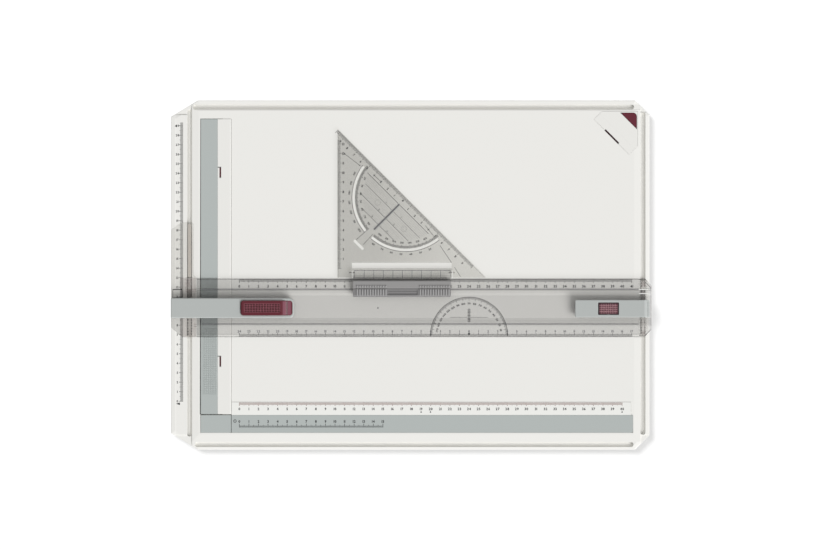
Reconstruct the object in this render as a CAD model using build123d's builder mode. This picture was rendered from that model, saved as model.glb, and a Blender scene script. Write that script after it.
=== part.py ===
from build123d import *
import math
import os

# Portable A3 drawing board with a guided T-square rule and a set square that runs on the rule.
# Frame: +X along the long side (to the user's right), +Y away from the user, +Z up.
# "Front" is the -Y side, nearest the user, and "back" the +Y side.
# Origin: centre of the footprint, on the desk plane under the feet. Units: millimetres.

os.makedirs("parts", exist_ok=True)

CUT = Mode.SUBTRACT
TALL = 10.0               # cut height that clears everything above the cut's floor

# ---------------------------------------------------------------- board dimensions
RULE_OVERHANG = 2.1       # right end of the rule past the board's right edge
BOARD_L = 500.0           # length, X
BOARD_W = 365.0           # width, Y
BOARD_X = -RULE_OVERHANG / 2   # centre in X
BOARD_LEFT, BOARD_RIGHT = BOARD_X - BOARD_L / 2, BOARD_X + BOARD_L / 2
BOARD_FRONT, BOARD_BACK = -BOARD_W / 2, BOARD_W / 2
LEFT_CHAMFER = (28.0, 17.0)    # corner chamfers (X, Y)
RIGHT_CHAMFER = (15.0, 15.0)

SKIRT_Z = 2.0             # lower edge of the skirt
RIM_Z = 11.5              # rim and left margin
RIM_W, RIM_FALL = 4.2, 0.7     # the rim slopes down outwards by RIM_FALL over RIM_W
RIM_EDGE_Z = RIM_Z - RIM_FALL
TOP_Z = 12.0              # drawing surface
SKIN = 2.4                # thickness of the top skin
WALL = 2.4                # skirt thickness
ROOF_Z = TOP_Z - SKIN     # ceiling of the hollow underside
BACKING_TOP = ROOF_Z + 0.1     # backings and ribs run this far into the skin
COVER_T = 2.0             # bottom cover thickness
FOOT_R, FOOT_H = 9.0, 3.0

GROOVE_W = 5.0            # guide grooves
GROOVE_HALF = GROOVE_W / 2
GROOVE_Z = 8.0            # groove floor
GROOVE_LEFT, GROOVE_RIGHT = -231.75, 242.15    # groove centre lines
GROOVE_BACK, GROOVE_FRONT = 175.6, -177.1

SCREW_XY = [(x, y) for x in (-165.0, -55.0, 55.0, 165.0) for y in (-112.0, 0.0, 112.0)]
FOOT_XY = [
    (BOARD_LEFT + 34, BOARD_FRONT + 34), (BOARD_RIGHT - 30, BOARD_FRONT + 30),
    (BOARD_LEFT + 34, BOARD_BACK - 34), (BOARD_RIGHT - 30, BOARD_BACK - 30),
]

# paper clamp on the left: a press bar with a lip on its right
CLAMP_LEFT, BAR_RIGHT, LIP_RIGHT = -220.15, -202.35, -188.35
CLAMP_FRONT, CLAMP_BACK = -145.3, 163.0
CLAMP_AX, CLAMP_AZ = -199.6, 10.0              # hinge axis, along Y
CLAMP_HINGE_Y = (107.4, -90.1)
CLAMP_TROUGH_Z = 7.4

# stop rail along the front, with a scale strip behind it and a corner block on its left
RAIL_LEFT, RAIL_RIGHT = -187.85, 231.6
RAIL_FRONT, RAIL_BACK, STRIP_BACK = -164.7, -146.4, -132.7
STRIP_RIGHT = RAIL_RIGHT - 1.95
RAIL_BED_Z, STRIP_BED_Z = 10.5, 11.2
BLOCK_LEFT, BLOCK_RIGHT = -220.2, -188.4
BLOCK_BACK = CLAMP_FRONT - 1.0

# corner clamp at the back right; u runs across the board's diagonal, v outwards along it
CORNER_V = 262.0          # hinge axis
CORNER_U = 45.9           # centre of the clamp
CORNER_AZ = 9.4
CORNER_FLOOR_Z = 7.0      # trough under the flap


def diagonal(u, v):
    """X, Y of a point given across and along the diagonal."""
    return ((v + u) / math.sqrt(2), (v - u) / math.sqrt(2))


CORNER_X, CORNER_Y = diagonal(CORNER_U, CORNER_V)
CORNER_PLANE = Plane(origin=(CORNER_X, CORNER_Y, 0), x_dir=(1, -1, 0), z_dir=(0, 0, 1))
CORNER_AXIS = Plane(origin=(CORNER_X, CORNER_Y, CORNER_AZ), x_dir=(1, 1, 0), z_dir=(1, -1, 0))

# ---------------------------------------------------------------- rule dimensions
RULE_LEFT, RULE_RIGHT = -238.5, BOARD_RIGHT + RULE_OVERHANG
RULE_FRONT, RULE_BACK = -64.9, -2.8
RULE_YC = -33.15          # middle of the raised core
RULE_Z = 13.5             # underside
BAND_TOP = RULE_Z + 2.0   # top of the scale bands
CORE_TOP = RULE_Z + 2.8   # top of the core
SHOULDER_TOP = 11.8       # shoulders between core and bands, from the centre line
SHOULDER_FOOT_BACK, SHOULDER_FOOT_FRONT = 16.2, 15.6
SLOT_BACK, SLOT_FRONT = 18.0, 17.95            # guide slots, from the centre line
SLOT_W, SLOT_FLOOR_W, SLOT_D = 2.6, 1.0, 1.2
BLADE_LEFT = -224.15      # full width ends here; a tongue runs on under the head's cover

# ---------------------------------------------------------------- head dimensions
PLATE_Z, PLATE_TOP = 12.2, 13.44     # plates stop just short of the blade; small pads carry it
PLATE_T = PLATE_TOP - PLATE_Z
LEFT_Y, RIGHT_Y = -34.5, -35.1       # centre lines of the two heads
HEAD_LEFT = BOARD_LEFT
LEFT_COVER_RIGHT = -122.5
LEFT_COVER_HALF, LEFT_COVER_TOP = 20.9 / 2, 22.0
RIGHT_COVER_X = (171.1, 248.75)
RIGHT_COVER_HALF, RIGHT_COVER_TOP = 18.2 / 2, 21.0
COVER_WALL = 1.5
LEVER_LEFT, LEVER_RIGHT, LEVER_W = -178.0, -124.1, 15.3
LEVER_AX, LEVER_AZ = -151.0, 19.6    # lever axis, along Y
BUTTON_LEFT, BUTTON_RIGHT, BUTTON_W = 195.35, 216.45, 12.2
BUTTON_X = (BUTTON_LEFT + BUTTON_RIGHT) / 2
BUTTON_Z, BUTTON_TOP = 18.2, 20.4

SHOE_Z = 8.4              # underside of the guide shoes
SHOE_HALF = GROOVE_HALF - 0.15
PAD_Z = 8.5               # underside of the brake pads
SLIDER_Z = CORE_TOP + 0.15
LEFT_PAD_HALF, RIGHT_PAD_HALF = 6.5, 6.0       # half length of the brake pads
OPENING_PLAY = 0.5        # brake opening past each end of its pad
LEFT_OPENING_X, RIGHT_OPENING_X = (-234.6, -229.2), (239.6, 245.1)

BLADE_SCREWS_LEFT = [(-212.0, LEFT_Y + 6.0), (-212.0, LEFT_Y - 6.0)]
BLADE_SCREWS_RIGHT = [(x, RIGHT_Y + side * 5.6) for x in (178.0, 232.0) for side in (-1, 1)]
PLATE_SCREW = (-244.6, LEFT_Y)

# ---------------------------------------------------------------- set square dimensions
SQUARE_X, SQUARE_Y = -77.1, -2.65    # right-angle corner
SQUARE_LEG = 155.5
SQUARE_Z, SQUARE_TOP = 13.6, 15.4
ZERO_X, ZERO_Y = -8.8, 77.6          # zero mark of the hypotenuse scale
ARC_X, ARC_Y = ZERO_X + 3.2, ZERO_Y + 3.2      # protractor centre, on the hypotenuse
WINDOW_X = (-62.0, 42.4)
GRIP_LEFT, GRIP_RIGHT = -60.9, 41.3
GRIP_L = GRIP_RIGHT - GRIP_LEFT
TRUNNION_Y, TRUNNION_Z = 2.6, 14.5


# ---------------------------------------------------------------- planes and points
def level(z):
    return Plane.XY.offset(z)


def section_xz(y, x=0.0):
    """Local axes X and Z, normal towards -Y."""
    return Plane(origin=(x, y, 0), x_dir=(1, 0, 0), z_dir=(0, -1, 0))


def facing_back(x, y, z):
    """Normal towards +Y."""
    return Plane(origin=(x, y, z), x_dir=(1, 0, 0), z_dir=(0, 1, 0))


def section_yz(x, y=0.0, z=0.0):
    """Local axes Y and Z, normal towards +X."""
    return Plane(origin=(x, y, z), x_dir=(0, 1, 0), z_dir=(1, 0, 0))


def span(centre, half):
    return (centre - half, centre + half)


def diagonal_box(u_range, v_range):
    (u0, u1), (v0, v1) = u_range, v_range
    return [diagonal(u0, v0), diagonal(u1, v0), diagonal(u1, v1), diagonal(u0, v1)]


def board_outline(inset):
    """Board outline, moved inwards by inset with an even wall thickness."""
    a, b = LEFT_CHAMFER
    c, d = RIGHT_CHAMFER
    left_slant = math.hypot(a, b)
    right_slant = math.hypot(c, d)
    left_x = BOARD_LEFT + a + inset * (left_slant - a) / b
    left_y = b + inset * (left_slant - b) / a
    right_x = BOARD_RIGHT - c - inset * (right_slant - c) / d
    right_y = d + inset * (right_slant - d) / c
    return [
        (BOARD_LEFT + inset, BOARD_FRONT + left_y),
        (left_x, BOARD_FRONT + inset),
        (right_x, BOARD_FRONT + inset),
        (BOARD_RIGHT - inset, BOARD_FRONT + right_y),
        (BOARD_RIGHT - inset, BOARD_BACK - right_y),
        (right_x, BOARD_BACK - inset),
        (left_x, BOARD_BACK - inset),
        (BOARD_LEFT + inset, BOARD_BACK - left_y),
    ]


# ---------------------------------------------------------------- shapes for the current sketch
def rectangle(x_range, y_range, corner=0.0, mode=Mode.ADD):
    (x0, x1), (y0, y1) = x_range, y_range
    with Locations(((x0 + x1) / 2, (y0 + y1) / 2)):
        if corner:
            RectangleRounded(x1 - x0, y1 - y0, corner, mode=mode)
        else:
            Rectangle(x1 - x0, y1 - y0, mode=mode)


def polygon(points, mode=Mode.ADD):
    # a line built here doesn't join the caller's sketch, so its edges are passed on
    with BuildLine(mode=Mode.PRIVATE) as border:
        Polyline(*points, close=True)
    make_face(border.edges(), mode=mode)


# ---------------------------------------------------------------- solids for the current part
# Each extrudes its own private sketch into the caller's part.
def slab(x_range, y_range, z, height, mode=Mode.ADD):
    with BuildSketch(level(z), mode=Mode.PRIVATE) as base:
        rectangle(x_range, y_range)
    extrude(base.sketch, amount=height, mode=mode)


def prism(plane, points, height, mode=Mode.ADD):
    with BuildSketch(plane, mode=Mode.PRIVATE) as base:
        polygon(points)
    extrude(base.sketch, amount=height, mode=mode)


def rod(plane, radius, length, mode=Mode.ADD):
    with BuildSketch(plane, mode=Mode.PRIVATE) as base:
        Circle(radius)
    extrude(base.sketch, amount=length, mode=mode)


def studs(points, radius, z, height, mode=Mode.ADD):
    """Upright cylinders at the X, Y points."""
    with BuildSketch(level(z), mode=Mode.PRIVATE) as base:
        with Locations(*points):
            Circle(radius)
    extrude(base.sketch, amount=height, mode=mode)


def from_below(points, z):
    """Locations at X, Y points on the underside z, for holes sunk from below."""
    return Locations(*[Location((x, y, z), (180, 0, 0)) for x, y in points])


# ---------------------------------------------------------------- parts made more than once
def coil(x, y, z, height, radius, wire, turns):
    """Open coil spring standing on z, as one closed solid."""
    rise = height - wire
    with BuildPart(mode=Mode.PRIVATE) as spring:
        with BuildLine() as path:
            Helix(pitch=rise / turns, height=rise, radius=radius, center=(x, y, z + wire / 2))
        with BuildSketch(Plane(origin=path.line @ 0, z_dir=path.line % 0)):
            Circle(wire / 2)
        sweep()
    return spring.part


def springs(points, floor, height, radius, wire, turns):
    """Coil springs standing 0.02 clear of the floor."""
    coils = [coil(x, y, floor + 0.02, height, radius, wire, turns) for x, y in points]
    with BuildPart() as group:
        add(coils)
    return group.part


def guide_shoes(groove_x, head_y, opening_half, front, back):
    """Ribbed shoes in a guide groove, in front of and behind the brake opening."""
    gap = opening_half + 0.4
    rib = 1.3
    with BuildPart() as shoes:
        for y0, y1 in ((head_y + gap, back), (front, head_y - gap)):
            with BuildSketch(level(SHOE_Z)):
                rectangle(span(groove_x, 1.3), (y0, y1))
                count = round((y1 - y0) / (2 * rib))
                for i in range(count):
                    y = y0 + rib / 2 + (y1 - y0 - rib) * i / (count - 1)
                    with Locations((groove_x, y)):
                        Rectangle(2 * SHOE_HALF, rib)
            extrude(amount=PLATE_Z - SHOE_Z)
    return shoes.part


def brake_pad(x_range, y_range):
    with BuildPart() as pad:
        slab(x_range, y_range, PAD_Z, SLIDER_Z - PAD_Z)
        chamfer(pad.faces().sort_by(Axis.Z)[0].edges(), 0.4)
    return pad.part


# ---------------------------------------------------------------- board shell
SURFACE_X = (GROOVE_LEFT + GROOVE_HALF, GROOVE_RIGHT - GROOVE_HALF)
SURFACE_Y = (GROOVE_FRONT + GROOVE_HALF, GROOVE_BACK - GROOVE_HALF)
BLOCK_RECESS_X = (BLOCK_LEFT - 0.2, BLOCK_RIGHT + 0.2)
BLOCK_RECESS_BACK = CLAMP_FRONT - 0.2
FLAP_RECESS_U = (19.83, 71.97)

# X range, Y range of the steps where the rim ends at the four corners
RIM_STEPS = (
    ((BOARD_LEFT - 1, SURFACE_X[0]), (167.4, BOARD_BACK + 1)),
    ((BOARD_LEFT - 1, SURFACE_X[0]), (BOARD_FRONT - 1, -167.0)),
    ((SURFACE_X[1], BOARD_RIGHT + 1), (170.0, BOARD_BACK + 1)),
    ((SURFACE_X[1], BOARD_RIGHT + 1), (BOARD_FRONT - 1, -167.0)),
)
# X range, Y range of the guide grooves
GROOVES = (
    (span(GROOVE_LEFT, GROOVE_HALF), (-168.7, 173.0)),
    (span(GROOVE_RIGHT, GROOVE_HALF), (-166.8, 170.0)),
    ((-228.4, 232.8), span(GROOVE_BACK, GROOVE_HALF)),
    ((-226.0, 232.1), span(GROOVE_FRONT, GROOVE_HALF)),
)


def board_shell():
    with BuildPart() as shell:
        prism(level(SKIRT_Z), board_outline(0), RIM_EDGE_Z - SKIRT_Z)
        # the rim falls gently outwards
        with BuildSketch(level(RIM_EDGE_Z)):
            polygon(board_outline(0))
        with BuildSketch(level(RIM_Z)):
            polygon(board_outline(RIM_W))
        loft(ruled=True)
        rim_edges = shell.edges().filter_by_position(Axis.Z, *span(RIM_EDGE_Z, 0.01))
        fillet(rim_edges, 0.8)
        # raised drawing surface with long shallow bevels to the grooves
        slab(SURFACE_X, SURFACE_Y, RIM_Z - 0.4, 0.4)
        with BuildSketch(level(RIM_Z)):
            rectangle(SURFACE_X, SURFACE_Y)
        with BuildSketch(level(TOP_Z)):
            rectangle((-222.2, 233.0), (-166.8, 171.9))
        loft()
        # hollow underside
        prism(level(SKIRT_Z), board_outline(WALL), ROOF_Z - SKIRT_Z, CUT)

        # backing under the grooves
        backing_z = GROOVE_Z - 1.8
        with BuildSketch(level(backing_z)):
            polygon(board_outline(WALL - 0.2))
            rectangle(
                (GROOVE_LEFT + 4.6, GROOVE_RIGHT - 4.6),
                (GROOVE_FRONT + 4.6, GROOVE_BACK - 4.6),
                mode=CUT,
            )
        extrude(amount=BACKING_TOP - backing_z)
        # backing under the clamp trough
        backing_z = CLAMP_TROUGH_Z - 1.6
        slab(
            (CLAMP_LEFT - 2.4, CLAMP_AX + 5.0), (CLAMP_FRONT - 2.4, CLAMP_BACK + 2.4),
            backing_z, BACKING_TOP - backing_z,
        )
        # backing under the rail recess
        backing_z = 8.6
        slab(
            (CLAMP_LEFT - 2.0, RAIL_RIGHT + 2.4), (RAIL_FRONT - 2.4, RAIL_BACK + 2.0),
            backing_z, BACKING_TOP - backing_z,
        )
        # backing under the corner trough and its mouth
        backing_z = CORNER_FLOOR_Z - 1.6
        with BuildSketch(level(backing_z)):
            polygon([
                diagonal(17, 252.6), diagonal(75, 252.6),
                (239.2, 135.0), (239.2, 173.5), (197.0, 173.5),
            ])
            polygon(diagonal_box(span(CORNER_U, 12.4), (247.4, 256)))
        extrude(amount=BACKING_TOP - backing_z)

        # stiffening ribs
        rib_z = 4.2
        with BuildSketch(level(rib_z)):
            with Locations((10.0, -56.0), (10.0, 56.0)):
                Rectangle(420.0, 1.6)
            with Locations((-110.0, 0.0), (0.0, 0.0), (110.0, 0.0)):
                Rectangle(1.6, 300.0)
        extrude(amount=BACKING_TOP - rib_z)
        # screw bosses
        studs(SCREW_XY, 4.0, SKIRT_Z + COVER_T + 0.1, ROOF_Z - SKIRT_Z - COVER_T)

        for x_range, y_range in RIM_STEPS:
            slab(x_range, y_range, RIM_Z - 0.9, TALL, CUT)
        # guide grooves with rounded ends
        with BuildSketch(level(GROOVE_Z)):
            for x_range, y_range in GROOVES:
                rectangle(x_range, y_range, corner=GROOVE_HALF - 0.1)
        extrude(amount=TALL, mode=CUT)
        # clamp trough
        trough = [
            (CLAMP_LEFT - 0.85, CLAMP_FRONT - 0.3), (CLAMP_AX + 2.6, CLAMP_FRONT - 0.3),
            (CLAMP_AX + 2.6, CLAMP_BACK + 0.4), (CLAMP_LEFT - 0.3, CLAMP_BACK + 0.4),
        ]
        prism(level(CLAMP_TROUGH_Z), trough, TALL, CUT)
        # narrow groove along the right edge of the clamp's lip
        slab(
            (LIP_RIGHT - 0.2, LIP_RIGHT + 0.35), (STRIP_BACK + 0.4, CLAMP_BACK + 0.3),
            TOP_Z - 0.8, TALL, CUT,
        )

        # recesses for the corner block and the stop rail
        recess_front = RAIL_FRONT - 0.15
        with BuildSketch(level(RAIL_BED_Z)):
            rectangle(BLOCK_RECESS_X, (recess_front, BLOCK_RECESS_BACK))
            rectangle((RAIL_LEFT - 0.1, RAIL_RIGHT + 0.15), (recess_front, RAIL_BACK))
        extrude(amount=TALL, mode=CUT)
        # open joints behind and to the right of the corner block
        with BuildSketch(level(RAIL_BED_Z - 1.0)):
            rectangle(BLOCK_RECESS_X, (BLOCK_BACK, BLOCK_RECESS_BACK))
            rectangle((BLOCK_RIGHT, RAIL_LEFT + 0.05), (recess_front, BLOCK_RECESS_BACK))
        extrude(amount=TALL, mode=CUT)
        # recess for the scale strip
        slab(
            (RAIL_LEFT - 0.1, RAIL_RIGHT - 1.85), (RAIL_BACK - 1.0, STRIP_BACK + 0.1),
            STRIP_BED_Z, TALL, CUT,
        )

        # corner trough under the flap, and the mouth in front of it
        with BuildSketch(level(CORNER_FLOOR_Z)):
            polygon([
                diagonal(FLAP_RECESS_U[0], 255.4), diagonal(FLAP_RECESS_U[1], 255.4),
                (236.77, 134.94), (236.77, 171.17), (199.14, 171.17),
            ])
            polygon(diagonal_box(span(CORNER_U, 10.2), (249.6, 256)))
        extrude(amount=TALL, mode=CUT)
        # shallow step that leads the paper's corner under the flap
        prism(level(11.7), diagonal_box(FLAP_RECESS_U, (249.9, 256.0)), TALL, CUT)
        # lugs for the corner clamp's hinge pin
        with BuildSketch(CORNER_PLANE.offset(CORNER_FLOOR_Z - 0.1)):
            with Locations((-17.5, 0), (17.5, 0)):
                Rectangle(4.0, 3.6)
        extrude(amount=3.9)
        rod(CORNER_AXIS.offset(-22), 0.85, 44, CUT)
        # pilot holes for the cover screws
        studs(SCREW_XY, 1.5, SKIRT_Z, 7.0, CUT)
    return shell.part


# ---------------------------------------------------------------- underside
def bottom_cover():
    with BuildPart() as cover:
        prism(level(SKIRT_Z), board_outline(WALL + 0.2), COVER_T)
        # seats for the feet
        studs(FOOT_XY, FOOT_R + 0.05, SKIRT_Z, FOOT_H - SKIRT_Z, CUT)
        with from_below(SCREW_XY, SKIRT_Z):
            CounterSinkHole(radius=1.7, counter_sink_radius=3.1, depth=COVER_T)
    return cover.part


# half section of a cover screw: radius, Z
COVER_SCREW = [
    (0, 2.75), (0.5, 2.75), (0.5, 2.1), (2.85, 2.1), (1.4, 3.5), (1.4, 8.2), (0.9, 8.8), (0, 8.8),
]


def cover_screws():
    with BuildPart() as screws:
        for x, y in SCREW_XY:
            with BuildSketch(section_xz(y, x)):
                polygon(COVER_SCREW)
            revolve(axis=Axis((x, y, 0), (0, 0, 1)))
    return screws.part


def rubber_feet():
    with BuildPart() as feet:
        studs(FOOT_XY, FOOT_R, 0, FOOT_H)
        fillet(feet.edges().filter_by(GeomType.CIRCLE).group_by(Axis.Z)[0], 0.8)
    return feet.part


# ---------------------------------------------------------------- stop rail along the front edge
def corner_block():
    with BuildPart() as block:
        slab((BLOCK_LEFT, BLOCK_RIGHT), (RAIL_FRONT, BLOCK_BACK), RAIL_BED_Z, 1.9)
        fillet(block.edges().filter_by(Axis.Z), 1.0)
        fillet(block.faces().sort_by(Axis.Z)[-1].edges(), 0.35)
    return block.part


def stop_rail():
    x_range = (RAIL_LEFT, RAIL_RIGHT)
    with BuildPart() as rail:
        slab(x_range, (RAIL_FRONT, RAIL_BACK - 1.1), RAIL_BED_Z, 1.95)
        # thin top that reaches back over the scale strip
        slab(x_range, (RAIL_FRONT, RAIL_BACK), 12.15, 0.3)
        front_right = (
            rail.edges().filter_by(Axis.Z)
            .filter_by_position(Axis.X, *span(RAIL_RIGHT, 0.1))
            .filter_by_position(Axis.Y, *span(RAIL_FRONT, 0.1))
        )
        fillet(front_right, 2.0)
        fillet(rail.faces().sort_by(Axis.Z)[-1].edges().sort_by(Axis.Y)[0], 0.25)
    return rail.part


def scale_strip():
    x_range = (RAIL_LEFT, STRIP_RIGHT)
    with BuildPart() as strip:
        # the lower layer reaches forward under the rail's top
        slab(x_range, (RAIL_BACK - 0.9, STRIP_BACK), STRIP_BED_Z, 0.9)
        slab(x_range, (RAIL_BACK + 0.1, STRIP_BACK), STRIP_BED_Z + 0.9, 0.3)
        chamfer(strip.faces().sort_by(Axis.Z)[-1].edges().sort_by(Axis.Y)[-1], 0.25)
    return strip.part


# ---------------------------------------------------------------- paper clamp
CLAMP_L = CLAMP_BACK - CLAMP_FRONT
PRESS_BAR_UNDER_Z = 10.9
CLAMP_TOP_LAYER_Z = 11.55      # underside of the bar's right edge and of the lip

# section of the press bar: X, Z
PRESS_BAR = [
    (CLAMP_LEFT, 9.6), (CLAMP_LEFT + 1.2, 9.6), (CLAMP_LEFT + 1.2, PRESS_BAR_UNDER_Z),
    (BAR_RIGHT - 1.6, PRESS_BAR_UNDER_Z), (BAR_RIGHT - 1.6, 8.8), (CLAMP_AX + 1.7, 8.8),
    (CLAMP_AX + 1.7, CLAMP_TOP_LAYER_Z), (BAR_RIGHT, CLAMP_TOP_LAYER_Z), (BAR_RIGHT, 12.4),
    (CLAMP_LEFT + 0.4, 12.4), (CLAMP_LEFT, 12.0),
]
# section of the lip: X, Z
LIP = [
    (BAR_RIGHT, CLAMP_TOP_LAYER_Z), (CLAMP_AX + 2.0, CLAMP_TOP_LAYER_Z),
    (CLAMP_AX + 2.2, 12.05), (LIP_RIGHT, 12.05), (LIP_RIGHT, 12.2),
    (LIP_RIGHT - 1.0, 12.5), (BAR_RIGHT, 12.5),
]
# section of a hinge bracket: X from the hinge axis, Z
BRACKET = [
    (-4.6, CLAMP_TROUGH_Z), (2.3, CLAMP_TROUGH_Z), (2.3, CLAMP_TROUGH_Z + 1.0),
    (1.5, CLAMP_TROUGH_Z + 1.4), (1.5, 11.0), (1.1, 11.35), (-1.1, 11.35), (-1.5, 11.0),
    (-1.5, CLAMP_TROUGH_Z + 1.4), (-4.6, CLAMP_TROUGH_Z + 0.8),
]
PRESS_BAR_RIB_Y = (CLAMP_FRONT + 0.8, -120.0, -40.0, 20.0, 70.0, 140.0, CLAMP_BACK - 0.8)


def hinge_rods(radius, half_length, mode=Mode.ADD):
    for y in CLAMP_HINGE_Y:
        rod(facing_back(CLAMP_AX, y - half_length, CLAMP_AZ), radius, 2 * half_length, mode)


def clamp_press_bar():
    with BuildPart() as bar:
        prism(section_xz(CLAMP_FRONT), PRESS_BAR, -CLAMP_L)
        # windows round the hinge brackets
        for y in CLAMP_HINGE_Y:
            slab((BAR_RIGHT - 3.0, CLAMP_AX + 3), span(y, 5.4), 5, CLAMP_TOP_LAYER_Z - 5, CUT)
        hinge_rods(0.88, 10.6, CUT)
        # cross ribs
        with BuildSketch(level(9.6)):
            for y in PRESS_BAR_RIB_Y:
                with Locations(((CLAMP_LEFT + BAR_RIGHT) / 2 - 0.6, y)):
                    Rectangle(BAR_RIGHT - CLAMP_LEFT - 1.6, 1.4)
        extrude(amount=1.4)
    return bar.part


def clamp_lip():
    with BuildPart() as lip:
        prism(section_xz(CLAMP_FRONT), LIP, -CLAMP_L)
        # slots over the hinges, each with a short leg towards the press bar
        with BuildSketch(level(11)):
            for y in CLAMP_HINGE_Y:
                rectangle((-200.45, -198.75), span(y, 5.9))
                rectangle((BAR_RIGHT, -200.4), (y + 4.9, y + 5.9))
        extrude(amount=3, mode=CUT)
    return lip.part


def clamp_brackets():
    with BuildPart() as brackets:
        for y in CLAMP_HINGE_Y:
            prism(section_xz(y - 5.0, CLAMP_AX), BRACKET, -10.0)
        hinge_rods(0.83, 6, CUT)
    return brackets.part


def clamp_pins():
    with BuildPart() as pins:
        hinge_rods(0.8, 10.0)
    return pins.part


def clamp_springs():
    points = [(-212.0, y) for y in CLAMP_HINGE_Y]
    height = PRESS_BAR_UNDER_Z - 0.06 - CLAMP_TROUGH_Z
    return springs(points, CLAMP_TROUGH_Z, height, radius=2.4, wire=0.45, turns=3)


# ---------------------------------------------------------------- corner clamp
FLAP_U = (19.9, 71.9)
ARM_Z = 8.9               # underside of the button and its arm
CORNER_BORE_R = 0.88


def corner_flap():
    u0, u1 = FLAP_U
    mouth0, mouth1 = span(CORNER_U, 10.1)
    body = [
        diagonal(u0, 255.8), diagonal(u1, 255.8), (236.6, 134.9), (236.6, 171.0), (199.1, 171.0),
    ]
    # thin lip over the paper's corner, notched over the mouth: u, v
    lip = [
        (u0, 250.1), (mouth0, 250.1), (mouth0, 251.4), (mouth1, 251.4), (mouth1, 250.1),
        (u1, 250.1), (u1, 256.2), (u0, 256.2),
    ]
    with BuildPart() as flap:
        prism(level(10.6), body, 1.4)
        prism(level(11.75), [diagonal(u, v) for u, v in lip], 0.35)
        # joint between lip and body
        prism(level(11.9), diagonal_box(FLAP_U, (256.0, 258.5)), 0.2)
        # triangular hole for the button
        with BuildSketch(level(9)):
            polygon([(218.4, 169.75), (235.85, 169.75), (235.85, 152.3)])
            fillet(vertices().sort_by(lambda v: v.X + v.Y)[-1], 4.2)
        extrude(amount=6, mode=CUT)
        # knuckles under the flap, on both sides of each lug
        with BuildSketch(CORNER_PLANE.offset(8.0)):
            with Locations((-21.6, 0.0), (-13.2, 0.0), (13.2, 0.0), (21.6, 0.0)):
                Rectangle(3.6, 3.4)
        extrude(amount=2.7)
        # room for the lugs
        with BuildSketch(CORNER_PLANE.offset(7.0)):
            with Locations((-17.5, 0), (17.5, 0)):
                Rectangle(4.6, 4.6)
        extrude(amount=4.1, mode=CUT)
        rod(CORNER_AXIS.offset(-24), CORNER_BORE_R, 48, CUT)
    return flap.part


def corner_button():
    with BuildPart() as button:
        prism(level(ARM_Z), [(219.0, 169.5), (235.6, 169.5), (235.6, 152.9)], 3.2)
        upright = button.edges().filter_by(Axis.Z)
        # large radius at the outer corner, small ones at the other two
        fillet(upright.sort_by(lambda e: e.center().X + e.center().Y)[-1], 4.0)
        upright = button.edges().filter_by(Axis.Z)
        fillet(upright.filter_by(lambda e: e.center().X + e.center().Y < 389.5), 0.9)
        fillet(button.faces().sort_by(Axis.Z)[-1].edges(), 0.5)
        # arm under the flap, ending in the mouth
        with BuildSketch(CORNER_PLANE.offset(ARM_Z)):
            rectangle((-9.6, 9.6), (-12.1, 14.5))
        extrude(amount=1.7)
        rod(CORNER_AXIS.offset(-12), CORNER_BORE_R, 24, CUT)
    return button.part


def corner_pin():
    with BuildPart() as pin:
        rod(CORNER_AXIS.offset(-21), 0.8, 42)
    return pin.part


def corner_spring():
    height = ARM_Z - 0.06 - CORNER_FLOOR_Z
    points = [diagonal(CORNER_U, 278.5)]
    return springs(points, CORNER_FLOOR_Z, height, radius=2.2, wire=0.4, turns=2)


# ---------------------------------------------------------------- rule blade
def blade_half_section(half_width, slot, shoulder_foot):
    """Distance from the centre line and Z, from the drawing edge in to the core."""
    a, b = SLOT_W / 2, SLOT_FLOOR_W / 2
    slot_z = BAND_TOP - SLOT_D
    return [
        # drawing edge: rebated underneath so that ink does not creep, eased on top
        (half_width - 2.2, RULE_Z), (half_width - 1.2, RULE_Z + 0.7),
        (half_width, RULE_Z + 0.7), (half_width, BAND_TOP - 0.4), (half_width - 0.5, BAND_TOP),
        # guide slot
        (slot + a, BAND_TOP), (slot + b, slot_z), (slot - b, slot_z), (slot - a, BAND_TOP),
        # shoulder
        (shoulder_foot, BAND_TOP), (SHOULDER_TOP, CORE_TOP),
    ]


def brake_openings():
    """X range, Y range of the left and right brake openings."""
    return (
        (LEFT_OPENING_X, span(LEFT_Y, LEFT_PAD_HALF + OPENING_PLAY)),
        (RIGHT_OPENING_X, span(RIGHT_Y, RIGHT_PAD_HALF + OPENING_PLAY)),
    )


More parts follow.
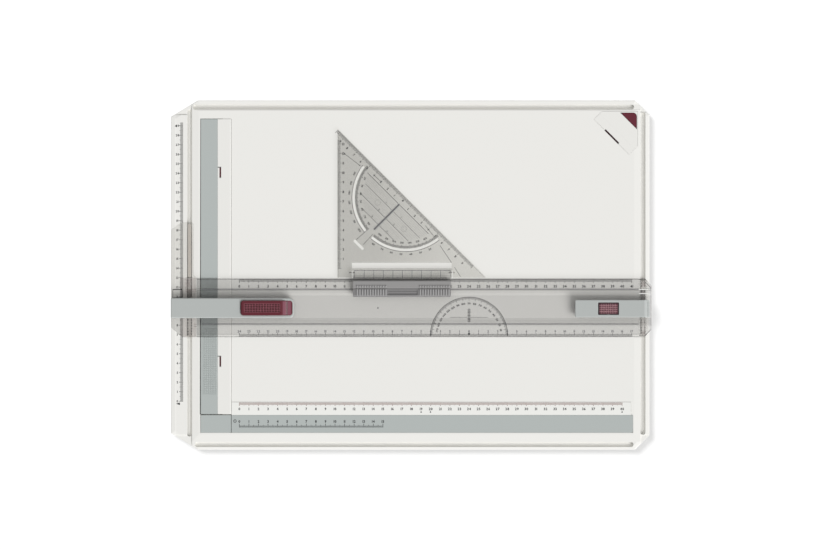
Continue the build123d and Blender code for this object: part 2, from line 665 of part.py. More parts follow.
def rule_blade():
    back = blade_half_section(RULE_BACK - RULE_YC, SLOT_BACK, SHOULDER_FOOT_BACK)
    front = blade_half_section(RULE_YC - RULE_FRONT, SLOT_FRONT, SHOULDER_FOOT_FRONT)
    tongue_half = LEFT_COVER_HALF - 0.8
    with BuildPart() as blade:
        section = back + [(-y, z) for y, z in reversed(front)]
        prism(section_yz(RULE_LEFT, RULE_YC), section, RULE_RIGHT - RULE_LEFT)
        # the left end is cut back to a tongue
        cut_x = (RULE_LEFT - 1, BLADE_LEFT)
        slab(cut_x, (LEFT_Y + tongue_half, RULE_BACK + 1), 10, TALL, CUT)
        slab(cut_x, (RULE_FRONT - 1, LEFT_Y - tongue_half), 10, TALL, CUT)
        # chamfered right corners: edge, outward direction, chamfer length in Y
        for y, out, run in ((RULE_BACK, 1, 8.6), (RULE_FRONT, -1, 9.5)):
            corner = [
                (RULE_RIGHT - 7.4, y + out), (RULE_RIGHT + 1, y + out),
                (RULE_RIGHT + 1, y - out * (run + 0.8)),
                (RULE_RIGHT, y - out * run), (RULE_RIGHT - 7.4, y),
            ]
            prism(level(10), corner, TALL, CUT)
        for x_range, y_range in brake_openings():
            slab(x_range, y_range, 10, TALL, CUT)
        with from_below(BLADE_SCREWS_LEFT + BLADE_SCREWS_RIGHT, RULE_Z):
            CounterSinkHole(radius=1.1, counter_sink_radius=2.1, depth=CORE_TOP - RULE_Z)
    return blade.part


# ---------------------------------------------------------------- left head
# outline of the head plate: X, Y
HEAD_PLATE = [
    (HEAD_LEFT, 47.4), (-239.4, 55.4), (-229.4, 55.4), (-227.4, 53.4),
    (-227.4, RULE_BACK + 3.0), (-224.3, RULE_BACK), (-224.3, RULE_FRONT),
    (-239.4, RULE_FRONT), (HEAD_LEFT, RULE_FRONT + 10.1),
]


def head_plate():
    with BuildPart() as plate:
        with BuildSketch(level(PLATE_Z)):
            polygon(HEAD_PLATE)
            rectangle(*brake_openings()[0], mode=CUT)
        extrude(amount=PLATE_T)
        upright = plate.edges().filter_by(Axis.Z)
        fillet(upright.filter_by_position(Axis.Y, 20, 60), 1.5)
        # raised index window frame where the vertical scale is read
        with BuildSketch(level(PLATE_TOP)):
            rectangle((-249.6, -238.9), (-23.9, -14.4), corner=0.8)
            rectangle((-248.9, -239.6), (-23.2, -15.1), corner=0.5, mode=CUT)
        extrude(amount=0.5)
        with from_below([PLATE_SCREW], PLATE_Z):
            CounterSinkHole(radius=1.1, counter_sink_radius=2.0, depth=PLATE_T)
        # pads that carry the blade's tongue
        pads = [(x, LEFT_Y + side * 8.2) for x in (-236.6, -226.7) for side in (-1, 1)]
        studs(pads, 1.1, PLATE_TOP, RULE_Z - PLATE_TOP)
    return plate.part


def head_wear_strip():
    """Thin strip under the head plate, just clear of the board's rim."""
    with BuildPart() as strip:
        slab(span(GROOVE_LEFT, 1.7), (-2.4, 53.4), PLATE_Z - 0.6, 0.6)
        fillet(strip.edges().filter_by(Axis.Z), 1.2)
    return strip.part


def guide_shoes_left():
    return guide_shoes(GROOVE_LEFT, LEFT_Y, LEFT_PAD_HALF + OPENING_PLAY, -63.8, -3.2)


def head_cover_left():
    x0, x1 = HEAD_LEFT, LEFT_COVER_RIGHT
    y0, y1 = span(LEFT_Y, LEFT_COVER_HALF)
    corner_r = 5.0
    with BuildPart() as cover:
        with BuildSketch(level(CORE_TOP)):
            with BuildLine():
                front = Line((x0, y0), (x1 - corner_r, y0))
                front_arc = RadiusArc(front @ 1, (x1, y0 + corner_r), -corner_r)
                right = Line(front_arc @ 1, (x1, y1 - corner_r))
                back_arc = RadiusArc(right @ 1, (x1 - corner_r, y1), -corner_r)
                back = Line(back_arc @ 1, (x0, y1))
                Line(back @ 1, front @ 0)
            make_face()
        extrude(amount=LEFT_COVER_TOP - CORE_TOP)
        fillet(cover.faces().sort_by(Axis.Z)[-1].edges(), 1.1)
        # left end, down to the head plate
        slab((x0, RULE_LEFT - 0.1), (y0, y1), PLATE_TOP, CORE_TOP - PLATE_TOP)
        # cavity
        slab(
            (x0 + COVER_WALL, LEVER_LEFT - 2.0), (y0 + COVER_WALL, y1 - COVER_WALL),
            PLATE_TOP, LEFT_COVER_TOP - COVER_WALL - PLATE_TOP, CUT,
        )
        # lever opening
        with BuildSketch(level(10)):
            with Locations(((LEVER_LEFT + LEVER_RIGHT) / 2, LEFT_Y)):
                RectangleRounded(LEVER_RIGHT - LEVER_LEFT + 0.9, LEVER_W + 0.5, 3.0)
        extrude(amount=20, mode=CUT)
        # passage for the brake slider
        slab((LEVER_LEFT - 6, LEVER_LEFT + 3), span(LEFT_Y, 2.6), 10, 9.0, CUT)
        # lever pin holes
        rod(facing_back(LEVER_AX, y0 + 0.6, LEVER_AZ), 1.03, y1 - y0 - 1.2, CUT)
        # screw bosses
        studs(BLADE_SCREWS_LEFT, 2.4, CORE_TOP, 4.4)
        studs([PLATE_SCREW], 2.6, PLATE_TOP, 7.2)
        studs(BLADE_SCREWS_LEFT + [PLATE_SCREW], 0.95, PLATE_TOP - 1, 6.6, CUT)
    return cover.part


# side profile of the lever, with grip pad, ridge, notch and falling nose: X, Z
LEVER = [
    (LEVER_LEFT, 20.0), (LEVER_AX - 3.2, 17.9), (LEVER_AX + 3.2, 17.9),
    (LEVER_RIGHT, 19.0), (LEVER_RIGHT, 21.1), (LEVER_RIGHT - 0.6, 21.5),
    (-129.3, 22.1), (-129.6, 21.7), (-130.5, 21.7), (-130.8, 22.3), (-133.6, 23.4),
    (-135.6, 24.0), (LEVER_LEFT + 1.6, 24.0), (LEVER_LEFT, 23.2),
]


def stop_lever():
    with BuildPart() as lever:
        prism(section_xz(LEFT_Y + LEVER_W / 2), LEVER, LEVER_W)
        fillet(lever.edges().filter_by(Axis.Z), 2.8)
        # sunk panel on top
        with BuildSketch(level(23.55)):
            rectangle((-174.6, -136.6), span(LEFT_Y, 4.6), corner=0.8)
        extrude(amount=3, mode=CUT)
        # channel over the slider
        slab((LEVER_LEFT - 1, LEVER_AX - 1.0), span(LEFT_Y, 2.2), 15, 6.2, CUT)
        # finger that moves the slider
        slab(span(LEVER_AX, 1.0), span(LEFT_Y, 1.5), 16.6, 1.7)
        # pin bore
        rod(facing_back(LEVER_AX, LEFT_Y - 10, LEVER_AZ), 1.05, 20, CUT)
    return lever.part


def lever_pin():
    with BuildPart() as pin:
        rod(facing_back(LEVER_AX, LEFT_Y - 9.6, LEVER_AZ), 1.0, 19.2)
    return pin.part


def lever_springs():
    points = [(-171.0, y) for y in span(LEFT_Y, 4.9)]
    return springs(points, CORE_TOP, 2.85, radius=1.5, wire=0.35, turns=3)


def brake_slider_left():
    left = -236.0
    with BuildPart() as slider:
        with BuildSketch(level(SLIDER_Z)):
            rectangle((left, LEVER_AX + 3.0), span(LEFT_Y, 1.75))
            # gap for the lever's finger
            rectangle(span(LEVER_AX, 1.15), span(LEFT_Y, 2.65), mode=CUT)
            # side straps keep both ends of the bar joined round the finger
            for side in (-1, 1):
                with Locations((LEVER_AX, LEFT_Y + side * 2.45)):
                    Rectangle(8.0, 1.4)
            rectangle((left, -227.8), span(LEFT_Y, 6.0))
        extrude(amount=1.0)
    return slider.part


def brake_pad_left():
    return brake_pad((-234.2, -230.0), span(LEFT_Y, LEFT_PAD_HALF))


def head_screws():
    """Small countersunk screws of both heads, pointing up."""
    shank_r, head_r, head_h = 0.9, 1.85, 0.95
    # X, Y, Z of the surface the head sinks into, length above it
    stations = [(x, y, RULE_Z, 5.2) for x, y in BLADE_SCREWS_LEFT]
    stations += [(*PLATE_SCREW, PLATE_Z, 5.4)]
    stations += [(x, y, RULE_Z, 5.2) for x, y in BLADE_SCREWS_RIGHT]
    with BuildPart() as screws:
        for x, y, z, length in stations:
            head_z = z + 0.05
            tip_z = z + length
            with BuildSketch(section_xz(y, x)):
                polygon([
                    (0, z + 0.55), (0.4, z + 0.55), (0.4, head_z), (head_r, head_z),
                    (shank_r, head_z + head_h), (shank_r, tip_z - 0.5),
                    (shank_r - 0.4, tip_z), (0, tip_z),
                ])
            revolve(axis=Axis((x, y, 0), (0, 0, 1)))
    return screws.part


# ---------------------------------------------------------------- right head
def end_plate():
    with BuildPart() as plate:
        with BuildSketch(level(PLATE_Z)):
            rectangle((237.9, 246.5), (-62.8, -5.2), corner=1.0)
            rectangle(*brake_openings()[1], mode=CUT)
        extrude(amount=PLATE_T)
        # pads that carry the blade
        pads = [(x, RIGHT_Y + side * 8.2) for x in (238.75, 245.8) for side in (-1, 1)]
        studs(pads, 0.7, PLATE_TOP, RULE_Z - PLATE_TOP)
    return plate.part


def guide_shoes_right():
    return guide_shoes(GROOVE_RIGHT, RIGHT_Y, RIGHT_PAD_HALF + OPENING_PLAY, -62.4, -6.4)


def head_cover_right():
    x0, x1 = RIGHT_COVER_X
    y0, y1 = span(RIGHT_Y, RIGHT_COVER_HALF)
    profile = [
        (x0, CORE_TOP), (x1, CORE_TOP), (x1, 18.6), (x1 - 5.2, RIGHT_COVER_TOP),
        (x0, RIGHT_COVER_TOP),
    ]
    # wall behind the falling right end: X, Z
    end_wall = [
        (x1 - 1.6, 17.6), (x1 - 1.2, 17.6), (x1 - 1.2, 18.5), (x1 - 5.4, 20.6),
        (x1 - 7.6, 20.6), (x1 - 7.6, 19.4), (x1 - 5.6, 19.4),
    ]
    with BuildPart() as cover:
        prism(section_xz(y1), profile, y1 - y0)
        fillet(cover.edges().filter_by(Axis.Z), 0.8)
        fillet(cover.faces().sort_by(Axis.Z)[-1].edges(), 0.7)
        # cavity
        slab(
            (x0 + COVER_WALL, x1 - 1.6), (y0 + COVER_WALL, y1 - COVER_WALL),
            10, RIGHT_COVER_TOP - COVER_WALL - 10, CUT,
        )
        # keep the falling end closed
        prism(section_xz(y1 - 1.2), end_wall, y1 - y0 - 2.4)
        # button opening
        with BuildSketch(level(10)):
            with Locations((BUTTON_X, RIGHT_Y)):
                RectangleRounded(BUTTON_RIGHT - BUTTON_LEFT + 0.8, BUTTON_W + 0.8, 0.9)
        extrude(amount=20, mode=CUT)
        # screw bosses
        studs(BLADE_SCREWS_RIGHT, 2.3, CORE_TOP, 3.6)
        studs(BLADE_SCREWS_RIGHT, 0.95, CORE_TOP, 2.8, CUT)
    return cover.part


BUTTON_SPRINGS = [(BUTTON_X, y) for y in span(RIGHT_Y, 4.6)]


def stop_button():
    with BuildPart() as button:
        with BuildSketch(level(BUTTON_Z)):
            with Locations((BUTTON_X, RIGHT_Y)):
                RectangleRounded(BUTTON_RIGHT - BUTTON_LEFT, BUTTON_W, 0.7)
        extrude(amount=BUTTON_TOP - BUTTON_Z)
        fillet(button.faces().sort_by(Axis.Z)[-1].edges(), 0.3)
        # flange under the cover
        slab(
            (BUTTON_LEFT - 1.2, BUTTON_RIGHT + 1.2), span(RIGHT_Y, BUTTON_W / 2 + 1.0),
            BUTTON_Z, 1.15,
        )
        # channel over the slider, and spring pockets
        slab((BUTTON_LEFT - 2, BUTTON_RIGHT + 2), span(RIGHT_Y, 2.2), 17, 2.6, CUT)
        studs(BUTTON_SPRINGS, 1.95, 17, 2.5, CUT)
    return button.part


def button_springs():
    return springs(BUTTON_SPRINGS, CORE_TOP, 3.1, radius=1.4, wire=0.35, turns=3)


def brake_slider_right():
    with BuildPart() as slider:
        with BuildSketch(level(SLIDER_Z)):
            rectangle((200.0, 245.0), span(RIGHT_Y, 1.75))
            rectangle((238.4, 245.6), span(RIGHT_Y, 5.2))
        extrude(amount=1.0)
    return slider.part


def brake_pad_right():
    return brake_pad((240.4, 244.6), span(RIGHT_Y, RIGHT_PAD_HALF))


# ---------------------------------------------------------------- set square
ARC_SLOT_R = (53.4, 56.0)                              # inner and outer radius
ARC_SLOT_ANGLES = ((143.4, 219.6), (229.4, 308.0))     # start and end, degrees
TRUNNION_HOLE_R = 0.53


def on_arc(radius, degrees):
    """Point at a radius and angle about the protractor centre."""
    angle = math.radians(degrees)
    return (ARC_X + radius * math.cos(angle), ARC_Y + radius * math.sin(angle))


def trunnion_rods(radius, half_length, mode=Mode.ADD):
    """Rods along X through both ends of the set square's window."""
    for x in WINDOW_X:
        plane = section_yz(x - half_length, TRUNNION_Y, TRUNNION_Z)
        rod(plane, radius, 2 * half_length, mode)


def set_square():
    x0, y0, leg = SQUARE_X, SQUARE_Y, SQUARE_LEG
    blunt = 0.9           # width of the blunted sharp corners
    inner, outer = ARC_SLOT_R
    with BuildPart() as square:
        with BuildSketch(level(SQUARE_Z)):
            polygon([
                (x0, y0), (x0 + leg - blunt, y0), (x0 + leg - blunt, y0 + blunt),
                (x0 + blunt, y0 + leg - blunt), (x0, y0 + leg - blunt),
            ])
            # window for the grip, open to the front edge
            rectangle(WINDOW_X, (y0 - 1, 12.7), mode=CUT)
            # arc slots
            for start, end in ARC_SLOT_ANGLES:
                middle = (start + end) / 2
                with BuildLine():
                    Line(on_arc(inner, start), on_arc(outer, start))
                    ThreePointArc(on_arc(outer, start), on_arc(outer, middle), on_arc(outer, end))
                    Line(on_arc(outer, end), on_arc(inner, end))
                    ThreePointArc(on_arc(inner, end), on_arc(inner, middle), on_arc(inner, start))
                make_face(mode=CUT)
            # short slot across the end of the lifting tab
            offset = 65.2 / math.sqrt(2)
            with Locations(Location((ZERO_X - offset, ZERO_Y - offset, 0), (0, 0, -45))):
                SlotOverall(14.0, 2.8, mode=CUT)
        extrude(amount=SQUARE_TOP - SQUARE_Z)
        # rebate under the drawing edges, so ink does not creep under them
        with BuildSketch(level(SQUARE_Z - 1)):
            polygon([
                (x0 - 1, y0 - 1), (x0 + 1.2, y0 - 1), (x0 + 1.2, y0 + leg - 4),
                (x0 - 1, y0 + leg + 1),
            ])
            polygon([
                (x0 + leg + 2, y0 - 1), (x0 - 1, y0 + leg + 2), (x0 - 1, y0 + leg - 0.7),
                (x0 + leg - 0.7, y0 - 1),
            ])
        extrude(amount=1.5, mode=CUT)

        # local X runs from the zero mark towards the right-angle corner
        tab_plane = Plane(
            origin=(ZERO_X, ZERO_Y, SQUARE_TOP), x_dir=(-1, -1, 0), z_dir=(0, 0, 1)
        )
        stud_points = ((20.1, 21.5), (20.1, -17.3))
        # grooves along the lifting tab
        with BuildSketch(tab_plane.offset(-0.7)):
            with Locations((57.5, 5.1), (57.5, -5.1)):
                Rectangle(15.0, 0.6)
        extrude(amount=2, mode=CUT)
        # low studs underneath that keep the plate off wet ink
        with BuildSketch(tab_plane.offset(SQUARE_Z - SQUARE_TOP - 0.5)):
            with Locations(*stud_points):
                Circle(2.9)
        extrude(amount=0.6)
        # dimples over the studs
        with BuildSketch(tab_plane.offset(-0.35)):
            with Locations(*stud_points):
                Circle(2.0)
        extrude(amount=2, mode=CUT)
        trunnion_rods(TRUNNION_HOLE_R, 3, CUT)
    return square.part


# section of the grip, with its tongue in the rule's back slot: Y, Z
SLOT_Y = RULE_YC + SLOT_BACK
GRIP = [
    (-5.7, 15.65), (-5.7, 16.9), (-6.2, 18.1), (-6.6, 18.4), (-13.2, 18.4), (-13.6, 17.8),
    (-14.3, 17.8), (-14.7, 18.4), (-21.6, 18.9), (-22.9, 18.2), (-22.9, 16.6), (-16.4, 16.6),
    (-16.2, 15.7), (SLOT_Y - 0.45, 15.7), (SLOT_Y - 0.45, 14.5), (SLOT_Y + 0.45, 14.5),
    (SLOT_Y + 0.45, 15.65),
]
GRIP_RIBS, GRIP_RIB_PITCH, GRIP_RIB_W = 12, 2.72, 1.35
PANEL_X = (-25.0, 6.5)


def square_grip():
    with BuildPart() as grip:
        prism(section_yz(GRIP_LEFT), GRIP, GRIP_L)
        # finger ribs on the left and right thirds
        with BuildSketch(level(18.0)):
            for i in range(GRIP_RIBS):
                step = i * GRIP_RIB_PITCH
                for x in (GRIP_LEFT + 4.5 + step, GRIP_RIGHT - 2.0 - step):
                    with Locations((x, -18.2)):
                        Rectangle(GRIP_RIB_W, 6.6)
                    with Locations((x, -12.0)):
                        Rectangle(GRIP_RIB_W, 1.8)
        extrude(amount=1.4)
        fillet(grip.edges().filter_by(Axis.Y).group_by(Axis.Z)[-1], 0.4)
        # shallow panel in the middle third, with two lines along it
        with BuildSketch(level(18.05)):
            rectangle(PANEL_X, (-20.9, -15.3), corner=0.6)
        extrude(amount=3, mode=CUT)
        for y in (-16.9, -19.4):
            slab((PANEL_X[0] + 0.8, PANEL_X[1] - 0.8), span(y, 0.3), 17.7, 1, CUT)
        front_edges = grip.edges().filter_by(Axis.Z).filter_by_position(Axis.Y, -23.0, -22.8)
        fillet(front_edges, 1.2)
    return grip.part


def grip_scale():
    """Clear scale flap between the plate's window and the grip."""
    play = 0.15
    # sections: Y, Z
    flap = [(7.0, 13.6), (7.0, 15.4), (1.2, 15.4), (0.4, 16.2), (-2.5, 16.2), (-2.5, 13.6)]
    tongue = [(-2.5, 15.65), (-2.5, 16.2), (-5.7, 16.2), (-5.7, 15.65)]
    with BuildPart() as scale:
        prism(section_yz(WINDOW_X[0] + play), flap, WINDOW_X[1] - WINDOW_X[0] - 2 * play)
        prism(section_yz(GRIP_LEFT), tongue, GRIP_L)
        trunnion_rods(TRUNNION_HOLE_R, 3.3, CUT)
    return scale.part


def grip_pins():
    with BuildPart() as pins:
        trunnion_rods(0.5, 2.8)
    return pins.part


# ---------------------------------------------------------------- export
# each function's name is the name of its piece
PIECES = (
    board_shell, bottom_cover, cover_screws, rubber_feet, corner_block, stop_rail, scale_strip,
    clamp_press_bar, clamp_lip, clamp_brackets, clamp_pins, clamp_springs,
    corner_flap, corner_button, corner_pin, corner_spring,
    rule_blade, head_plate, head_wear_strip, guide_shoes_left, head_cover_left, stop_lever,
    lever_pin, lever_springs, brake_slider_left, brake_pad_left, head_screws,
    end_plate, guide_shoes_right, head_cover_right, stop_button, button_springs,
    brake_slider_right, brake_pad_right,
    set_square, square_grip, grip_scale, grip_pins,
)
for build in PIECES:
    part = build()
    part.label = build.__name__
    export_step(part, f"parts/{part.label}.step")
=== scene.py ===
"""A drawing board with a sliding clear rule and a clear set square.

The board lies flat on the floor at Z = 0 and is seen from above. X runs along the rule, from the
long head on the left (-X) to the short end on the right (+X). -Y is the front edge of the board
and +Y the back. Sizes and places are in millimetres unless noted; MM turns them into metres.
"""

import math

import bmesh
import bpy
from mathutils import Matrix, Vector


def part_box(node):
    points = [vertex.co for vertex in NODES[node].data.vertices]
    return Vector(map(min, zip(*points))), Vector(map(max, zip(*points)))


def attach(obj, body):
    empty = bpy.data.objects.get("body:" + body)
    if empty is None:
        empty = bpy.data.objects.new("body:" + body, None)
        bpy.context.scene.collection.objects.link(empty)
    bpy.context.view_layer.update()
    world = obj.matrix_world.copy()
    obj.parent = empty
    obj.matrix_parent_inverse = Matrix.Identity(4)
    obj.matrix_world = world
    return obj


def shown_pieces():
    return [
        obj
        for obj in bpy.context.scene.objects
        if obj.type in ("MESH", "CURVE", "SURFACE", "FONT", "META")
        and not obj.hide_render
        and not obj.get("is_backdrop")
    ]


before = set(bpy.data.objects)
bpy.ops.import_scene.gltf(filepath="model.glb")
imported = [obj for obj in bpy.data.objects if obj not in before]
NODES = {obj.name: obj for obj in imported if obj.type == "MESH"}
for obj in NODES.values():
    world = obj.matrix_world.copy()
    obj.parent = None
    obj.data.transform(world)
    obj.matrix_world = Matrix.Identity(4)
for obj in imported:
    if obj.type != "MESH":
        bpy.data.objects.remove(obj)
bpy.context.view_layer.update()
MM = 0.001


# ------------------------------------------------------------------ colours
def linear(level):
    share = level / 255.0
    return share / 12.92 if share <= 0.04045 else ((share + 0.055) / 1.055) ** 2.4


def rgb(red, green, blue):
    """Linear RGBA from sRGB levels 0 to 255."""
    return (linear(red), linear(green), linear(blue), 1.0)


def tone(color, gain, lift=0.0):
    """An opaque colour made lighter or darker, held at 1."""
    return tuple(min(1.0, c * gain + lift) for c in color[:3]) + (1.0,)


# ------------------------------------------------------------------ shader helpers
class Shader:
    """One node material. Most helpers add nodes and return an output socket."""

    def __init__(self, name):
        self.material = bpy.data.materials.new(name)
        self.material.use_nodes = True
        self.tree = self.material.node_tree
        self.tree.nodes.clear()
        self.output = self.add("OutputMaterial")

    def add(self, kind, inputs=None, **settings):
        """A node; each input is linked if given a socket, or set if given a value."""
        node = self.tree.nodes.new("ShaderNode" + kind)
        for key, value in settings.items():
            setattr(node, key, value)
        for key, value in (inputs or {}).items():
            if isinstance(value, bpy.types.NodeSocket):
                self.tree.links.new(value, node.inputs[key])
            else:
                node.inputs[key].default_value = value
        return node

    def first(self, kind, inputs=None, **settings):
        return self.add(kind, inputs, **settings).outputs[0]

    def finish(self, surface):
        self.tree.links.new(surface, self.output.inputs["Surface"])
        return self.material

    def calc(self, operation, a, b=None):
        inputs = {0: a} if b is None else {0: a, 1: b}
        return self.first("Math", inputs, operation=operation)

    def ramp(self, value, low, high, to_low=0.0, to_high=1.0):
        return self.first("MapRange", {
            "Value": value, "From Min": low, "From Max": high,
            "To Min": to_low, "To Max": to_high}, clamp=True)

    def mix(self, factor, a, b, blend="MIX"):
        inputs = {0: factor, 6: a, 7: b}
        return self.add("Mix", inputs, data_type="RGBA", blend_type=blend).outputs[2]

    def mix_shaders(self, factor, a, b):
        return self.first("MixShader", {0: factor, 1: a, 2: b})

    def noise(self, place, scale, detail, roughness):
        return self.add("TexNoise", {
            "Scale": scale, "Detail": detail, "Roughness": roughness,
            "Vector": place}).outputs["Fac"]

    def swing(self, noise, amount):
        """Noise centred on zero."""
        return self.calc("MULTIPLY", self.calc("SUBTRACT", noise, 0.5), amount)

    def coord(self):
        return self.add("TexCoord").outputs["Object"]

    def stretch(self, place, scale):
        return self.first("Mapping", {"Scale": scale, "Vector": place})

    def scaled(self, color, factor):
        return self.first("VectorMath", {0: color, "Scale": factor}, operation="SCALE")

    def bump(self, height, strength, distance, **normal):
        return self.first("Bump", {
            "Strength": strength, "Distance": distance, "Height": height, **normal})

    def window(self, axis, low, high, soft=0.4):
        """1 from low to high along an object axis, 0 outside, fading over soft each way."""
        along = self.add("SeparateXYZ", {0: self.coord()}).outputs[axis]
        low, high, soft = low * MM, high * MM, soft * MM
        rise = self.ramp(along, low - soft, low + soft)
        fall = self.ramp(along, high - soft, high + soft, to_low=1.0, to_high=0.0)
        return self.calc("MULTIPLY", rise, fall)

    def zoned(self, color, zones):
        """Multiplies a colour inside boxes, each (tint, {axis: (low, high[, soft])})."""
        for tint, spans in zones:
            inside = None
            for axis, span in spans.items():
                window = self.window(axis, *span)
                inside = window if inside is None else self.calc("MULTIPLY", inside, window)
            color = self.mix(inside, color, tint + (1.0,), "MULTIPLY")
        return color

    def edge(self, radius):
        """Edge mask, from how far the normal is from the bevelled one, and that normal."""
        bevelled = self.first("Bevel", {"Radius": radius * MM}, samples=6)
        normal = self.add("NewGeometry").outputs["Normal"]
        dot = self.add("VectorMath", {0: bevelled, 1: normal}, operation="DOT_PRODUCT")
        return self.ramp(dot.outputs["Value"], low=0.999, high=0.80), bevelled


# ------------------------------------------------------------------ kinds of material
def moulded(name, color, rough, grain, mottling, edge_highlight, grain_depth=0.03,
            edge_radius=0.5, specular=0.4, edge_highlight_color=None, zones=()):
    """Moulded plastic: fine grain, faint flow mottling, glossier edges that carry a painted
    highlight in their colour.
    """
    m = Shader(name)
    place = m.coord()
    flow = m.noise(place, scale=9.0, detail=3.0, roughness=0.55)
    speck = m.noise(place, scale=grain * 0.6, detail=1.0, roughness=0.5)
    density = m.calc("ADD", m.swing(flow, mottling * 2.0),
                     m.calc("ADD", m.swing(speck, mottling), 1.0))
    body = m.scaled(m.mix(1.0, color, (1, 1, 1, 1), "MULTIPLY"), density)

    edge, bevelled = m.edge(edge_radius)
    # painted highlight: edges take a lighter colour than the body; the zones then paint light and
    # shade into the colour
    edge_highlight_color = edge_highlight_color or tone(color, gain=1 + edge_highlight * 4, lift=edge_highlight * 0.25)
    highlight_share = min(1.0, 0.35 + edge_highlight * 3)
    color = m.zoned(m.mix(m.calc("MULTIPLY", edge, highlight_share), body, edge_highlight_color), zones)

    grains = m.noise(place, scale=grain, detail=2.0, roughness=0.6)
    spread, edge_polish = 0.06, 0.12    # roughness: spread over the grain, loss on edges
    roughness = m.ramp(grains, 0.3, 0.7, rough - spread, rough + spread)
    roughness = m.calc("SUBTRACT", roughness, m.calc("MULTIPLY", edge, edge_polish))
    normal = m.bump(grains, strength=0.35, distance=grain_depth * MM, Normal=bevelled)
    return m.finish(m.first("BsdfPrincipled", {
        "Base Color": color, "Roughness": roughness, "Specular IOR Level": specular,
        "Normal": normal}))


ACRYLIC_IOR = 1.49
# EDGE_DARK, WALL_DARK and SLOPE_SHADE paint light and shade into the clear plastic's tint: darker
# edges and walls, slopes lighter or darker by the way they face
EDGE_DARK = 0.12    # loss of tint along edges
WALL_DARK = 0.18    # loss of tint on steep walls
SLOPE_SHADE = 0.6   # gain on slopes that face +Y, loss on those that face -Y
HAZE = 0.008        # share of diffuse scatter


def clear(name, tint, zones=()):
    """Tinted clear acrylic: it refracts, but shadow and diffuse rays pass straight through."""
    m = Shader(name)
    place = m.coord()
    rays = m.add("LightPath").outputs
    passing = m.calc("MAXIMUM", rays["Is Shadow Ray"], rays["Is Diffuse Ray"])
    edge, bevelled = m.edge(0.45)

    # long faint streaks in the tint, painted shade along the edges, and painted light and shade
    # in the zones
    streaks = m.noise(m.stretch(place, (1.2, 14.0, 1.0)), scale=6.0, detail=3.0, roughness=0.5)
    color = m.mix(streaks, tone(tint, 0.996), tone(tint, 1.004))
    color = m.zoned(m.mix(edge, color, tone(tint, 1 - EDGE_DARK)), zones)

    # painted light and shade: gentle slopes are lighter or darker by their Y direction, steep
    # walls are painted as dark lines
    facing = m.add("SeparateXYZ", {0: m.add("NewGeometry").outputs["True Normal"]}).outputs
    wall = m.ramp(m.calc("ABSOLUTE", facing["Z"]), low=0.80, high=0.55)
    slope = m.calc("MULTIPLY", m.calc("MULTIPLY", facing["Y"], SLOPE_SHADE),
                   m.calc("SUBTRACT", 1.0, wall))
    shade = m.calc("MULTIPLY", m.calc("ADD", slope, 1.0),
                   m.calc("SUBTRACT", 1.0, m.calc("MULTIPLY", wall, WALL_DARK)))
    blur = m.noise(place, scale=420.0, detail=2.0, roughness=0.6)
    refraction = m.first("BsdfRefraction", {
        "IOR": ACRYLIC_IOR, "Color": m.scaled(color, shade), "Normal": bevelled,
        "Roughness": m.ramp(blur, 0.45, 0.75, to_low=0.0, to_high=0.05)})

    # hair scratches in the gloss
    wave = m.add("TexWave", {
        "Scale": 60.0, "Distortion": 22.0, "Detail": 3.0, "Vector": place},
        wave_type="BANDS", bands_direction="DIAGONAL")
    hairs = m.ramp(wave.outputs["Fac"], low=0.985, high=1.0)
    scratched = m.bump(hairs, strength=0.25, distance=0.00001, Normal=bevelled)
    gloss = m.first("BsdfGlossy", {"Roughness": 0.09, "Normal": scratched})

    fresnel = m.first("Fresnel", {"IOR": ACRYLIC_IOR, "Normal": bevelled})
    scatter = m.first("BsdfDiffuse", {"Color": (0.75, 0.75, 0.73, 1)})
    body = m.mix_shaders(HAZE, refraction, scatter)
    surface = m.mix_shaders(fresnel, body, gloss)
    straight = m.first("BsdfTransparent", {"Color": tone(tint, gain=0.5, lift=0.5)})
    return m.finish(m.mix_shaders(passing, surface, straight))


def ink(name, color):
    """Printed ink of slightly uneven density, also used for lines of painted shade and painted
    highlight.
    """
    m = Shader(name)
    blotches = m.noise(m.coord(), scale=700.0, detail=2.0, roughness=0.6)
    thin = tone(color, gain=1.5, lift=0.015)
    return m.finish(m.first("BsdfPrincipled", {
        "Base Color": m.mix(m.ramp(blotches, low=0.45, high=0.75), color, thin),
        "Roughness": m.ramp(blotches, 0.3, 0.7, to_low=0.55 - 0.08, to_high=0.55 + 0.1),
        "Specular IOR Level": 0.3}))


def brushed_metal(name, color):
    m = Shader(name)
    stretched = m.stretch(m.coord(), (40.0, 900.0, 900.0))
    streaks = m.noise(stretched, scale=3.0, detail=3.0, roughness=0.6)
    return m.finish(m.first("BsdfPrincipled", {
        "Metallic": 1.0,
        "Base Color": m.mix(streaks, tone(color, 0.85), color),
        "Roughness": m.ramp(streaks, 0.3, 0.7, to_low=0.28 - 0.08, to_high=0.28 + 0.1),
        "Normal": m.bump(streaks, strength=0.2, distance=0.00001)}))


# ------------------------------------------------------------------ materials
# Zones paint light and shade into a colour, as (tint, spans in mm); these two are heights of the
# shell's groove floor and of its rim.
GROOVE, RIM = (7.0, 9.0), (9.0, 12.0)
